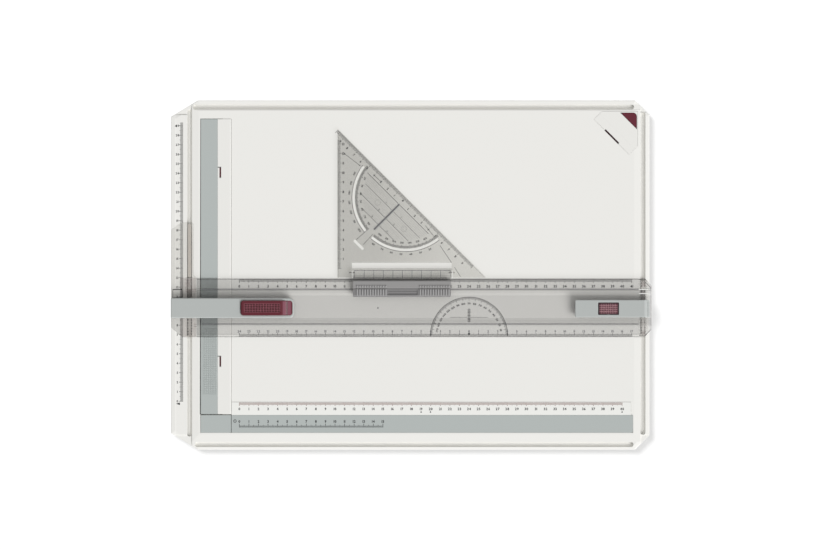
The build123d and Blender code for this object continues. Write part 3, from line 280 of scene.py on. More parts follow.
# painted light and shade on the shell: groove floors lightened where shadow falls in them and
# darkened where they are lit, and rim strips at the back and on the left lightened
PAINTED_LIGHT_GAIN = (1.17,) * 3
SHELL_PAINTED_LIGHT_AND_SHADE = [
    ((0.93,) * 3, dict(X=(239.4, 242.0), Z=GROOVE)),
    (PAINTED_LIGHT_GAIN, dict(X=(242.4, 244.7), Z=GROOVE)),
    ((0.84, 0.84, 0.835), dict(X=(-235.0, -232.3), Z=GROOVE)),
    (PAINTED_LIGHT_GAIN, dict(X=(-232.3, -229.1), Z=GROOVE)),
    (PAINTED_LIGHT_GAIN, dict(Y=(172.4, 175.0), Z=GROOVE)),
    ((0.92,) * 3, dict(Y=(175.2, 178.2), Z=GROOVE)),
    (PAINTED_LIGHT_GAIN, dict(Y=(-179.4, -177.4), Z=GROOVE)),
    ((1.13,) * 3, dict(Y=(178.3, 184.0), Z=RIM)),
    ((1.06,) * 3, dict(X=(-252.0, -245.8), Z=RIM)),
]
# painted shadow of the head covers on the guide shoes, behind each cover
SHOE_PAINTED_SHADOW = [((0.50, 0.49, 0.49), dict(Y=(-27.0, -15.2)))]
SHOE_RIGHT_PAINTED_SHADOW = [((0.50, 0.49, 0.49), dict(Y=(-27.0, -16.4)))]
# painted shade on the grip: everything below the rib tops darker, most of all around the ribs
GRIP_PAINTED_SHADE = [
    ((0.81, 0.81, 0.82), dict(Z=(18.9, 30.0, 0.05))),
    ((0.48, 0.475, 0.48), dict(Z=(5.0, 18.9, 0.05), Y=(-60.0, -14.4))),
    ((0.64, 0.635, 0.635), dict(Y=(-14.4, -5.5), Z=(5.0, 18.9, 0.05))),
]
# painted highlight on the sloped nose of the lever
LEVER_PAINTED_HIGHLIGHT = [((1.85, 5.2, 4.1), dict(X=(-134.0, -125.4, 0.6), Y=(-41.5, -27.5)))]
# painted shade on the corner button's arm below the board's surface, where it shows in the slot
CORNER_PAINTED_SHADE = [((0.32, 0.45, 0.42), dict(Z=(3.0, 11.5)))]
# painted light and shade in the rule's tint: darker over the left end and behind the head cover,
# lighter at the right end and on the front band, darker on the shoulders
RULE_PAINTED_LIGHT_AND_SHADE = [
    ((0.86, 0.865, 0.865), dict(X=(-260.0, -202.3))),
    ((0.95,) * 3, dict(X=(-220.0, -202.3), Y=(-15.0, -3.0))),
    ((1.04,) * 3, dict(X=(243.0, 260.0))),
    ((1.035,) * 3, dict(Y=(-61.0, -53.6, 0.6))),
    ((0.96,) * 3, dict(Y=(-51.3, -47.5, 1.0))),
    ((0.97,) * 3, dict(Y=(-19.0, -16.9))),
]
# painted shade in the long head's tint where it lies over the rule's end and in front of its
# cover
HEAD_PAINTED_SHADE = [
    ((0.87, 0.855, 0.855), dict(X=(-241.7, -225.0), Y=(-120.0, -2.8))),
    ((0.92, 0.92, 0.925), dict(X=(-260.0, -241.7), Y=(-120.0, -44.0))),
]
# painted light: the set square's tint lightens towards +X, offsetting the shade near the rule
SQUARE_PAINTED_LIGHT = [((1.11,) * 3, dict(X=(5.0, 200.0, 45.0)))]
# painted highlight colour for the edges of maroon parts
MAROON_EDGE_HIGHLIGHT = dict(edge_radius=0.7, edge_highlight_color=rgb(150, 112, 116))

# name, sRGB colour, roughness, grain scale, mottling, painted edge highlight, other settings
PLASTICS = [
    ("white_shell", (237, 236, 232), 0.5, 1100.0, 0.006, 0.02, dict(zones=SHELL_PAINTED_LIGHT_AND_SHADE)),
    ("white_lip", (235, 234, 230), 0.42, 1100.0, 0.005, 0.03, {}),
    ("scale_strip", (239, 239, 235), 0.32, 1600.0, 0.004, 0.02, dict(grain_depth=0.012)),
    ("grey_rail", (179, 185, 183), 0.42, 1000.0, 0.012, 0.06, {}),
    ("grey_head", (180, 184, 182), 0.38, 1000.0, 0.010, 0.14, dict(edge_radius=0.9)),
    ("grey_cover", (150, 152, 150), 0.55, 700.0, 0.02, 0.04, {}),
    ("shoe_grey", (192, 189, 184), 0.4, 900.0, 0.02, 0.06, dict(zones=SHOE_PAINTED_SHADOW)),
    # painted light: the right shoes are coloured paler than the left ones to offset the shade
    # under the end plate and the rule
    ("shoe_right_painted_light", (232, 229, 224), 0.4, 900.0, 0.02, 0.04, dict(zones=SHOE_RIGHT_PAINTED_SHADOW)),
    ("grip_grey", (182, 181, 180), 0.40, 1000.0, 0.012, 0.06, dict(zones=GRIP_PAINTED_SHADE)),
    ("maroon", (96, 31, 43), 0.34, 1200.0, 0.03, 0.05, MAROON_EDGE_HIGHLIGHT),
    ("maroon_lever", (96, 31, 43), 0.34, 1200.0, 0.03, 0.05,
     dict(zones=LEVER_PAINTED_HIGHLIGHT, **MAROON_EDGE_HIGHLIGHT)),
    ("maroon_corner", (100, 36, 50), 0.34, 1200.0, 0.05, 0.05,
     dict(edge_highlight_color=rgb(140, 92, 98), zones=CORNER_PAINTED_SHADE)),
    ("maroon_cell_shade", (56, 8, 16), 0.38, 1200.0, 0.03, 0.03, {}),
    ("maroon_button", (94, 54, 62), 0.34, 1200.0, 0.03, 0.05,
     dict(edge_radius=0.6, edge_highlight_color=rgb(168, 134, 138))),
    ("guide_brown", (198, 192, 184), 0.3, 900.0, 0.02, 0.04, {}),
    ("rubber", (62, 62, 64), 0.75, 500.0, 0.05, 0.02, dict(grain_depth=0.06, specular=0.25)),
    ("brake_rubber", (44, 44, 46), 0.8, 500.0, 0.05, 0.02,
     dict(grain_depth=0.06, specular=0.25)),
]
# name, linear tint per face, zones
ACRYLICS = [
    ("smoke_rule", (0.873, 0.871, 0.869), RULE_PAINTED_LIGHT_AND_SHADE),
    ("smoke_head", (0.950, 0.948, 0.942), HEAD_PAINTED_SHADE),
    ("clear_end", (0.985, 0.985, 0.982), ()),
    ("smoke_square", (0.846, 0.844, 0.836), SQUARE_PAINTED_LIGHT),
    ("smoke_flap", (0.862, 0.860, 0.852), ()),
]
# name, sRGB colour
# several of these colour lines of painted shade and painted highlight rather than print
INKS = [
    ("ink_and_shade_black", (38, 38, 40)), ("ink_red", (118, 78, 72)), ("ink_and_shade_grey", (92, 92, 95)),
    ("painted_shade_brown", (116, 104, 102)), ("pink_ridge_highlight", (140, 80, 90)),
    ("pale_pink_ridge_highlight", (166, 124, 130)), ("ink_and_highlight_white", (236, 236, 232)),
]

MATERIALS = {}
for name, color, rough, grain, mottling, edge_highlight, others in PLASTICS:
    MATERIALS[name] = moulded("mat_" + name, rgb(*color), rough, grain, mottling, edge_highlight,
                              **others)
MATERIALS["steel"] = brushed_metal("mat_steel", rgb(190, 192, 195))
for name, tint, zones in ACRYLICS:
    MATERIALS[name] = clear("mat_" + name, tint, zones)
for name, color in INKS:
    MATERIALS[name] = ink("mat_" + name, rgb(*color))

FINISH = {
    "board_shell": "white_shell", "bottom_cover": "grey_cover", "cover_screws": "steel",
    "rubber_feet": "rubber", "corner_block": "grey_rail", "stop_rail": "grey_rail",
    "scale_strip": "scale_strip",
    "clamp_press_bar": "grey_rail", "clamp_lip": "white_lip", "clamp_brackets": "maroon",
    "clamp_pins": "steel", "clamp_springs": "steel",
    "corner_flap": "white_lip", "corner_button": "maroon_corner", "corner_pin": "steel",
    "corner_spring": "steel",
    "rule_blade": "smoke_rule", "head_plate": "smoke_head", "head_wear_strip": "guide_brown",
    "guide_shoes_left": "shoe_grey", "head_cover_left": "grey_head",
    "stop_lever": "maroon_lever", "lever_pin": "steel", "lever_springs": "steel",
    "brake_slider_left": "grey_cover", "brake_pad_left": "brake_rubber",
    "head_screws": "steel", "end_plate": "clear_end", "guide_shoes_right": "shoe_right_painted_light",
    "head_cover_right": "grey_head", "stop_button": "maroon_button",
    "button_springs": "steel", "brake_slider_right": "grey_cover",
    "brake_pad_right": "brake_rubber",
    "set_square": "smoke_square", "square_grip": "grip_grey", "grip_scale": "smoke_flap",
    "grip_pins": "smoke_square",
}
for node, ob in NODES.items():
    ob.data.materials.clear()
    ob.data.materials.append(MATERIALS[FINISH[node]])


# ------------------------------------------------------------------ solids for prints and relief
def glyph(char):
    """A digit one em tall and one deep, as points, faces, left side and width."""
    curve = bpy.data.curves.new("glyph", "FONT")
    curve.body = char
    curve.size = 1.0
    curve.extrude = 0.5
    curve.offset = 0.034
    curve.resolution_u = 2
    ob = bpy.data.objects.new("glyph", curve)
    bpy.context.scene.collection.objects.link(ob)
    bpy.context.view_layer.update()
    depsgraph = bpy.context.evaluated_depsgraph_get()
    mesh = bpy.data.meshes.new_from_object(ob.evaluated_get(depsgraph))
    bm = bmesh.new()
    bm.from_mesh(mesh)
    bmesh.ops.remove_doubles(bm, verts=bm.verts, dist=1e-4)
    bmesh.ops.recalc_face_normals(bm, faces=bm.faces)
    points = [v.co.copy() for v in bm.verts]
    faces = [[v.index for v in f.verts] for f in bm.faces]
    bm.free()
    bpy.data.objects.remove(ob)
    bpy.data.meshes.remove(mesh)
    left = min(p.x for p in points)
    return points, faces, left, max(p.x for p in points) - left


GLYPHS = {char: glyph(char) for char in "0123456789"}
GLYPH_HEIGHT = max(p.y for p in GLYPHS["0"][0])
GLYPH_GAP = 0.10    # between digits, in em


def polar(centre, radius, angle):
    return centre[0] + radius * math.cos(angle), centre[1] + radius * math.sin(angle)


def move(point, direction, distance):
    return point[0] + direction[0] * distance, point[1] + direction[1] * distance


class Solid:
    """Collects closed prisms and makes one mesh of them. A span is (bottom Z, top Z)."""

    def __init__(self):
        self.points, self.faces = [], []

    def strip(self, left, right, span, closed=False):
        """A band between two matching polylines, left and right of the walking direction."""
        count, start = len(left), len(self.points)
        for a, b in zip(left, right):
            self.points += [(*a, span[0]), (*b, span[0]), (*a, span[1]), (*b, span[1])]
        for i in range(count if closed else count - 1):
            p, q = start + 4 * i, start + 4 * ((i + 1) % count)
            self.faces += [(p + 3, q + 3, q + 2, p + 2), (p, q, q + 1, p + 1),
                           (p + 2, q + 2, q, p), (p + 1, q + 1, q + 3, p + 3)]
        if not closed:
            p, q = start, start + 4 * (count - 1)
            self.faces += [(p, p + 1, p + 3, p + 2), (q + 1, q, q + 2, q + 3)]

    def line(self, start, end, width, span):
        (x0, y0), (x1, y1) = start, end
        length = math.hypot(x1 - x0, y1 - y0)
        nx, ny = -(y1 - y0) / length * width / 2, (x1 - x0) / length * width / 2
        self.strip([(x0 + nx, y0 + ny), (x1 + nx, y1 + ny)],
                   [(x0 - nx, y0 - ny), (x1 - nx, y1 - ny)], span)

    def arc(self, centre, radius, width, first, last, span, step=3.0):
        """A band from the first to the last angle, in degrees, closed if that is a full turn."""
        count = max(3, int(abs(last - first) / step) + 1)
        full = abs(abs(last - first) - 360) < 1e-6
        parts = count if full else count - 1
        angles = [math.radians(first + (last - first) * i / parts) for i in range(count)]
        inner = [polar(centre, radius - width / 2, t) for t in angles]
        outer = [polar(centre, radius + width / 2, t) for t in angles]
        self.strip(inner, outer, span, closed=full)

    def disc(self, centre, radius, span, sides):
        start = len(self.points)
        for k in range(sides):
            rim = polar(centre, radius, 2 * math.pi * k / sides)
            self.points += [(*rim, span[0]), (*rim, span[1])]
        self.faces.append(tuple(start + 2 * k + 1 for k in range(sides)))
        self.faces.append(tuple(start + 2 * k for k in reversed(range(sides))))
        for k in range(sides):
            p, q = start + 2 * k, start + 2 * ((k + 1) % sides)
            self.faces.append((p, q, q + 1, p + 1))

    def prism(self, bottom, top, span):
        """Bottom and top outlines match and run counterclockwise seen from above."""
        start, count = len(self.points), len(bottom)
        self.points += [(*p, span[0]) for p in bottom] + [(*p, span[1]) for p in top]
        self.faces.append(tuple(start + k for k in reversed(range(count))))
        self.faces.append(tuple(start + count + k for k in range(count)))
        for k in range(count):
            a, b = start + k, start + (k + 1) % count
            self.faces.append((a, b, b + count, a + count))

    def stud(self, x0, x1, y0, y1, span, inset):
        """A rectangular block that tapers by the inset on every side."""
        u0, u1, v0, v1 = x0 + inset, x1 - inset, y0 + inset, y1 - inset
        self.prism([(x0, y0), (x1, y0), (x1, y1), (x0, y1)],
                   [(u0, v0), (u1, v0), (u1, v1), (u0, v1)], span)

    def text(self, digits, centre, height, span, turn=0.0):
        """Digits centred on a point and turned by an angle in radians."""
        scale = height / GLYPH_HEIGHT
        total = sum(GLYPHS[c][3] for c in digits) + GLYPH_GAP * (len(digits) - 1)
        pen = -total / 2
        cos, sin = math.cos(turn), math.sin(turn)
        for char in digits:
            points, faces, left, width = GLYPHS[char]
            start = len(self.points)
            for p in points:
                u, v = (pen + p.x - left) * scale, (p.y - GLYPH_HEIGHT / 2) * scale
                self.points.append((centre[0] + u * cos - v * sin, centre[1] + u * sin + v * cos,
                                    span[0] + (p.z + 0.5) * (span[1] - span[0])))
            self.faces += [tuple(start + i for i in f) for f in faces]
            pen += width + GLYPH_GAP

    def make(self, name, material, body, slot):
        mesh = bpy.data.meshes.new(name)
        mesh.from_pydata([(x * MM, y * MM, z * MM) for x, y, z in self.points], [], self.faces)
        mesh.update()
        mesh.materials.append(MATERIALS[material])
        ob = bpy.data.objects.new(name, mesh)
        bpy.context.scene.collection.objects.link(ob)
        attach(ob, body)
        if slot.startswith("smoke"):
            # ink on clear plastic throws no shadow worth seeing
            ob.visible_shadow = False
            ob.visible_diffuse = False


SINK, PROUD = 0.012, 0.030      # a print sinks a little into its surface and stands proud


def film(*heights):
    """The span of a print on a surface that has these heights."""
    return min(heights) - SINK, max(heights) + PROUD


def rank(number):
    """2 for every tenth tick, 1 for every fifth, 0 for the others."""
    return 2 if number % 10 == 0 else 1 if number % 5 == 0 else 0


def ticks(solid, origin, along, inward, numbers, z, lengths, widths):
    """Millimetre ticks; lengths and widths are listed by rank."""
    for number in numbers:
        foot = move(origin, along, number)
        end = move(foot, inward, lengths[rank(number)])
        solid.line(foot, end, widths[rank(number)], film(z))


def labels(solid, origin, along, inward, numbers, z, height, offset):
    """Centimetre numbers, set inward from the feet of their ticks."""
    for number in numbers:
        foot = move(origin, along, 10 * number)
        solid.text(str(number), move(foot, inward, offset), height, film(z))


def top(node):
    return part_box(node)[1].z / MM


LEFT, RIGHT, FRONT, BACK = (-1, 0), (1, 0), (0, -1), (0, 1)
ZERO_X = -179.65        # zero of the strip, rail and rule scales

# ------------------------------------------------------------------ prints on the board
MARGIN_Z = 11.5
MARGIN = ((-238.5, -131.9), (0, 0.9928), LEFT)      # origin, along, inward
marks = Solid()
ticks(marks, *MARGIN, range(294), MARGIN_Z, lengths=(2.9, 3.4, 4.0), widths=(0.50, 0.52, 0.60))
labels(marks, *MARGIN, range(30), MARGIN_Z, height=2.3, offset=5.9)
for x, y, length in ((-246.0, -134.6, 4.2), (-247.2, 155.7, 2.2)):
    arrow = [(x, y), (x + length, y - 1.3), (x + length, y + 1.3)]
    marks.prism(arrow, arrow, film(MARGIN_Z))
marks.make("print_margin_scale", "ink_and_shade_black", "board", "white_shell")

STRIP_Z = top("scale_strip")
STRIP = ((ZERO_X, -133.2), RIGHT, FRONT)
marks = Solid()
ticks(marks, *STRIP, range(401), STRIP_Z, lengths=(2.6, 3.0, 3.6), widths=(0.46, 0.46, 0.50))
marks.make("print_strip_ticks", "ink_red", "board", "scale_white")

marks = Solid()
labels(marks, *STRIP, range(41), STRIP_Z, height=2.6, offset=6.7)
for x in (10.3, 20.1, 220.35):
    arrow = [(x, -141.9), (x - 0.9, -143.8), (x + 0.9, -143.8)]
    marks.prism(arrow, arrow, film(STRIP_Z))
marks.make("print_strip_digits", "ink_and_shade_black", "board", "scale_white")

RAIL_Z = top("stop_rail")
RAIL = ((ZERO_X, -159.4), RIGHT, BACK)
RAIL_RING = (-184.2, -152.6)
marks = Solid()
ticks(marks, *RAIL, range(151), RAIL_Z, lengths=(2.0, 2.8, 4.0), widths=(0.46, 0.48, 0.52))
labels(marks, *RAIL, range(16), RAIL_Z, height=2.7, offset=6.4)
marks.arc(RAIL_RING, 1.45, 0.5, 0, 360, film(RAIL_Z), step=20.0)
marks.disc(RAIL_RING, 0.45, film(RAIL_Z), sides=10)
marks.make("print_rail_scale", "ink_and_shade_black", "board", "grey_plastic")

# raised grid of ribs on the press bar
BAR_Z = 12.4
BAR_START = (-217.2, -124.6)
RIB_PITCH, RIB_HALF, RIB_INSET = 1.9, 0.32, 0.14
ribs = Solid()
for i in range(8):
    x = BAR_START[0] + i * RIB_PITCH
    ribs.stud(x - RIB_HALF, x + RIB_HALF, -124.6, -56.4, (BAR_Z - 0.05, BAR_Z + 0.22), RIB_INSET)
for i in range(37):
    y = BAR_START[1] + i * RIB_PITCH
    ribs.stud(-217.6, -203.2, y - RIB_HALF, y + RIB_HALF, (BAR_Z - 0.05, BAR_Z + 0.2), RIB_INSET)
ribs.make("relief_clamp_grid", "grey_rail", "paper_clamp", "grey_plastic")

# ------------------------------------------------------------------ prints on the rule
BAND_Z, CORE_Z = 15.5, 16.3     # tops of the edge bands and of the raised middle
GROOVE_Z = BAND_Z - 1.2
RULE_MID_Y = -33.15
CORE_HALF = 11.8                # from the middle to where the shoulders begin to fall
CENTRE_X = ZERO_X + 240         # zero of the front scale, and centre of the protractor
BACK_SCALE = ((ZERO_X, -4.0), RIGHT, FRONT)
# direction, length of the front scale to each side of its zero, first number
FRONT_SCALES = ((RIGHT, 170, 0), (LEFT, 240, 1))
FRONT_ZERO = (CENTRE_X, -64.4)

marks = Solid()
ticks(marks, *BACK_SCALE, range(411), BAND_Z, lengths=(3.1, 3.6, 4.2), widths=(0.48, 0.50, 0.54))
labels(marks, *BACK_SCALE, range(42), BAND_Z, height=2.7, offset=7.7)
for along, length, first in FRONT_SCALES:
    ticks(marks, FRONT_ZERO, along, BACK, range(first, length + 1), BAND_Z,
          lengths=(2.5, 3.0, 3.7), widths=(0.48, 0.48, 0.52))
marks.make("print_rule_scales", "ink_and_shade_black", "rule", "smoke_clear")

marks = Solid()
for along, length, first in FRONT_SCALES:
    labels(marks, FRONT_ZERO, along, BACK, range(first, length // 10 + 1), BAND_Z,
           height=2.4, offset=5.6)
marks.make("print_rule_lower_digits", "ink_and_shade_grey", "rule", "smoke_clear")


def rule_z(x, y):
    """Height of the rule's top surface, which depends on y alone."""
    away = abs(y - RULE_MID_Y)
    shoulder_end = 16.2 if y > RULE_MID_Y else 15.6
    fall = min(1.0, max(0.0, (away - CORE_HALF) / (shoulder_end - CORE_HALF)))
    return CORE_Z + (BAND_Z - CORE_Z) * fall


def rule_line(solid, start, end, width):
    """A line that follows the sloping shoulder in short steps."""
    (x0, y0), (x1, y1) = start, end
    steps = 1 if abs(rule_z(*start) - rule_z(*end)) < 1e-6 else 4
    for i in range(steps):
        a, b = i / steps, (i + 1) / steps
        p = (x0 + (x1 - x0) * a, y0 + (y1 - y0) * a)
        q = (x0 + (x1 - x0) * b, y0 + (y1 - y0) * b)
        solid.line(p, q, width, film(rule_z(*p), rule_z(*q)))


# protractor at the front edge
PROTRACTOR = (CENTRE_X, -63.5)
ARC_RADIUS, TICK_RADIUS, LABEL_RADIUS = 40.4, 39.9, 33.8
marks = Solid()
for degree in range(0, 180, 3):
    z = rule_z(*polar(PROTRACTOR, ARC_RADIUS, math.radians(degree + 1.5)))
    marks.arc(PROTRACTOR, ARC_RADIUS, 0.55, degree, degree + 3.0, film(z), step=1.0)
for degree in range(1, 180):
    angle = math.radians(degree)
    inner = TICK_RADIUS - (1.5, 2.2, 3.1)[rank(degree)]
    rule_line(marks, polar(PROTRACTOR, TICK_RADIUS, angle), polar(PROTRACTOR, inner, angle),
              (0.28, 0.30, 0.36)[rank(degree)])
for degree in range(10, 180, 10):
    angle = math.radians(degree)
    spot = polar(PROTRACTOR, LABEL_RADIUS, angle)
    marks.text(str(degree), spot, 2.1, film(rule_z(*spot)), angle - math.pi / 2)

# cross hair with short marks
CX, CY = PROTRACTOR
HAIR_Y = CY + 19.3
CORE_FILM, BAND_FILM = film(CORE_Z), film(BAND_Z)
for x0, x1 in ((-19.6, -10.6), (-9.2, -1.6), (1.6, 9.2), (10.6, 19.6)):
    marks.line((CX + x0, HAIR_Y), (CX + x1, HAIR_Y), 0.34, CORE_FILM)
for x in (-9.9, 9.9):
    marks.disc((CX + x, HAIR_Y), 0.42, CORE_FILM, sides=12)
for k in range(9):
    y = CY + 15.4 + k * 1.45
    marks.line((CX - 1.7, y), (CX + 1.7, y), 0.62 if k % 2 == 0 else 0.42, CORE_FILM)
marks.line((CX, CY + 14.2), (CX, CY + 28.8), 0.55, CORE_FILM)
marks.disc((CX, CY + 2.1), 1.1, BAND_FILM, sides=16)
marks.disc((-34.75, -34.5), 0.75, CORE_FILM, sides=14)
marks.make("print_rule_protractor", "ink_and_shade_black", "rule", "smoke_clear")

# index line on the long head and the outline of its window
HEAD_Z = 13.44
INDEX_SPAN = (HEAD_Z + 0.48, HEAD_Z + 0.55)
marks = Solid()
marks.line((-249.3, -15.15), (-239.2, -15.15), 0.9, INDEX_SPAN)
for start, end in (((-249.15, -15.6), (-249.15, -23.4)), ((-248.9, -23.6), (-239.6, -23.6)),
                   ((-239.35, -23.4), (-239.35, -15.6))):
    marks.line(start, end, 0.45, INDEX_SPAN)
# painted shade along the bevelled corners of the right end
marks.line((243.2, -6.1), (250.7, -13.9), 0.5, BAND_FILM)
marks.line((250.6, -56.6), (243.8, -63.9), 0.5, BAND_FILM)
marks.make("print_index_line_and_bevel_shade", "ink_and_shade_black", "rule", "smoke_clear")

# painted shade, as brownish lines: short lines on the long head, and crossed lines on pads at
# both ends
# pads: left, right, front, back, surface Z
PADS = ((-235.9, -229.0, -13.6, -4.2, HEAD_Z), (240.5, 245.9, -12.4, -6.0, BAND_Z),
        (240.7, 245.5, -62.8, -58.3, BAND_Z))
marks = Solid()
for x, y in ((-236.0, -14.9), (-236.0, -16.9), (-227.0, -51.4), (-227.0, -53.5)):
    marks.line((x, y), (-224.3, y), 0.5, film(HEAD_Z))
for x0, x1, y0, y1, z in PADS:
    x, y, half_x, half_y = (x0 + x1) / 2, (y0 + y1) / 2, (x1 - x0) / 2, (y1 - y0) / 2
    for rise in (-half_y, half_y):
        marks.line((x - half_x, y - rise), (x + half_x, y + rise), 0.42, film(z))
        marks.line((x - half_x, y - rise * 0.2), (x + half_x * 0.4, y + rise), 0.34, film(z))
marks.make("painted_head_shade_lines", "painted_shade_brown", "rule", "smoke_clear")

# painted shade in the bottom of the two grooves along the rule
marks = Solid()
for y in (-14.9, -51.2):
    marks.line((-219.0, y), (237.5, y), 0.72, film(GROOVE_Z))
marks.make("print_groove_shade", "ink_and_shade_grey", "rule", "smoke_clear")

# painted highlight: pale bars in the groove and on the shoulder at the right end
marks = Solid()
marks.line((238.2, -15.15), (247.4, -15.15), 0.9, film(GROOVE_Z))
rule_line(marks, (238.2, -19.4), (247.4, -19.4), 0.9)
marks.make("painted_end_highlights", "ink_and_highlight_white", "rule", "smoke_clear")

# ------------------------------------------------------------------ prints on the set square
SQUARE_ZERO = (-8.8, 77.6)      # zero point of the hypotenuse scale
SQUARE_FILM = film(15.4)
DIAGONAL = math.sqrt(0.5)


def on_square(u, v):
    """u runs along the hypotenuse towards +X -Y, v from the zero point into the body."""
    return (SQUARE_ZERO[0] + u * DIAGONAL - v * DIAGONAL,
            SQUARE_ZERO[1] - u * DIAGONAL - v * DIAGONAL)


LEG = ((-76.9, 6.9), BACK, RIGHT)       # scale on the left leg
marks = Solid()
ticks(marks, *LEG, range(135), 15.4, lengths=(2.9, 3.3, 4.0), widths=(0.32, 0.34, 0.38))
labels(marks, *LEG, range(1, 14), 15.4, height=2.5, offset=5.9)

# hypotenuse scale, both ways from the zero point
HYPOTENUSE_V = -4.3
for side in (1, -1):
    for n in range(0 if side > 0 else 1, 101):
        tick_end = HYPOTENUSE_V + (2.9, 3.3, 4.0)[rank(n)]
        marks.line(on_square(side * n, HYPOTENUSE_V), on_square(side * n, tick_end),
                   (0.34, 0.36, 0.40)[rank(n)], SQUARE_FILM)
        if rank(n) == 2 and 0 < n < 100:
            marks.text(str(n // 10), on_square(side * n, 2.2), 2.4, SQUARE_FILM, -math.pi / 4)

# base line and its parallels, broken at the axis: v, first u, last u
BASE_V = 5.5
PARALLELS = ((BASE_V, -47.0, 43.5), (15.1, -40.2, 40.2), (25.8, -37.7, 34.0), (35.8, -25.0, 22.6))
for v, first, last in PARALLELS:
    for u0, u1 in ((first, -1.5), (1.7, last)):
        marks.line(on_square(u0, v), on_square(u1, v), 0.46 if v == BASE_V else 0.38, SQUARE_FILM)
    if v != BASE_V:
        for u in (-11.0, 11.0):
            marks.text(str(int(v // 10)), on_square(u, v - 1.7), 1.8, SQUARE_FILM, -math.pi / 4)
marks.disc(SQUARE_ZERO, 0.95, SQUARE_FILM, sides=16)

# degree ring just inside the curved slots, with numbers on both sides of them
RING = (SQUARE_ZERO[0] + 3.2, SQUARE_ZERO[1] + 3.2)
RING_RADIUS = 53.0
for degree in range(141, 311):
    if 221 <= degree <= 229:
        continue
    angle = math.radians(degree)
    inner = RING_RADIUS - (2.4, 2.8, 3.4)[rank(degree - 5)]
    marks.line(polar(RING, inner, angle), polar(RING, RING_RADIUS, angle), 0.44, SQUARE_FILM)
for first, last in ((143.0, 220.0), (229.0, 308.4)):
    marks.arc(RING, 56.4, 0.4, first, last, SQUARE_FILM)
for degree in (*range(155, 216, 10), *range(235, 296, 10)):
    angle = math.radians(degree)
    for number, radius in ((degree - 135, 47.2), (315 - degree, 59.2)):
        marks.text(str(number), polar(RING, radius, angle), 2.0, SQUARE_FILM, angle + math.pi / 2)

# guide lines outside and inside the ring: start, end
GUIDES = (
    ((-70.0, 127.0), (-54.0, 114.7)), ((30.0, 30.8), (42.2, 12.8)), ((45.2, 8.0), (51.6, -1.9)),
    ((-38.9, 104.3), (-31.9, 97.8)), ((14.7, 51.6), (23.3, 40.8)),
    ((-46.2, 47.0), (-57.4, 36.9)), ((-40.0, 42.8), (-50.1, 31.7)),
)
for start, end in GUIDES:
    marks.line(start, end, 0.38, SQUARE_FILM)
for dot in ((-69.6, 126.8), (-53.8, 114.5), (-31.7, 97.5)):
    marks.disc(dot, 0.6, SQUARE_FILM, sides=12)
marks.make("print_square", "ink_and_shade_black", "square", "smoke_clear_square")

# axis bar with a fringe of short marks
FRINGE_START = 0.7
marks = Solid()
marks.line(on_square(0, 4.9), on_square(0, 42.7), 1.3, SQUARE_FILM)
for n in range(6, 43):
    fringe_end = FRINGE_START + (1.3 if n % 5 == 0 else 0.8)
    for side in (-1, 1):
        marks.line(on_square(side * FRINGE_START, n + 0.2), on_square(side * fringe_end, n + 0.2),
                   0.4, SQUARE_FILM)
marks.make("print_square_axis", "ink_and_shade_grey", "square", "smoke_clear_square")

# fine hatching parallel to the hypotenuse inside the degree ring, clear of the parallels
marks = Solid()
v = 7.6
while v < 37.0:
    if min(abs(v - row[0]) for row in PARALLELS) > 0.8:
        half = math.sqrt(45.0 ** 2 - (v + 4.5) ** 2)
        for u0, u1 in ((-half, -2.4), (2.4, half)):
            marks.line(on_square(u0, v), on_square(u1, v), 0.11, (15.4 - SINK, 15.4 + 0.018))
    v += 1.9
marks.make("print_square_hatching", "ink_and_shade_grey", "square", "smoke_clear_square")

# scale on the grip's flap: a back line, ten cells, and fine ticks along the front
FLAP_FILM = film(16.2)
TICK_FOOT_Y = -3.6
marks = Solid()
for n in range(101):
    x = -59.1 + n * 0.998
    tick_top, width = ((-2.6, 0.13), (-1.8, 0.13), (4.7, 0.46))[rank(n)]
    marks.line((x, tick_top), (x, TICK_FOOT_Y), width, FLAP_FILM)
marks.line((-59.4, 4.75), (41.0, 4.75), 0.5, FLAP_FILM)
marks.make("print_grip_scale", "ink_and_shade_grey", "square", "grip_grey")

marks = Solid()
for x in (-61.7, 43.0):
    marks.line((x, 4.4), (x, -3.4), 0.5, FLAP_FILM)
marks.make("print_grip_outline", "ink_and_highlight_white", "square", "grip_grey")


# ------------------------------------------------------------------ relief on lever and button
def relief(body, materials, columns, x_span, y_span, base_z, stud_share, stud_height,
           lattice_height, column_width, row_width, skip):
    """Studs with a lattice between them; skip=1 leaves out the lattice's outer lines.

    stud_share is half a stud's size in X and Y, as a share of the pitch.
    """
    rows = 5
    (x0, x1), (y0, y1) = x_span, y_span
    pitch_x, pitch_y = (x1 - x0) / columns, (y1 - y0) / rows
    half_x, half_y = pitch_x * stud_share[0], pitch_y * stud_share[1]
    studs = Solid()
    for i in range(columns):
        for j in range(rows):
            x, y = x0 + (i + 0.5) * pitch_x, y0 + (j + 0.5) * pitch_y
            studs.stud(x - half_x, x + half_x, y - half_y, y + half_y,
                       (base_z, base_z + stud_height), inset=0.22)
    studs.make(f"relief_{body}_grip", materials[0], body, "maroon_plastic")

    lattice = Solid()
    bottom, lattice_top = base_z - 0.05, base_z + lattice_height
    for i in range(skip, columns + 1 - skip):
        x = x0 + i * pitch_x
        lattice.line((x, y0), (x, y1), column_width, (bottom, lattice_top))
    for j in range(skip, rows + 1 - skip):
        y = y0 + j * pitch_y
        lattice.line((x0, y), (x1, y), row_width, (bottom, lattice_top + 0.02))
    lattice.make(f"relief_{body}_lattice", materials[1], body, "maroon_plastic")


LEVER_Y, BUTTON_Y = -34.5, -35.1
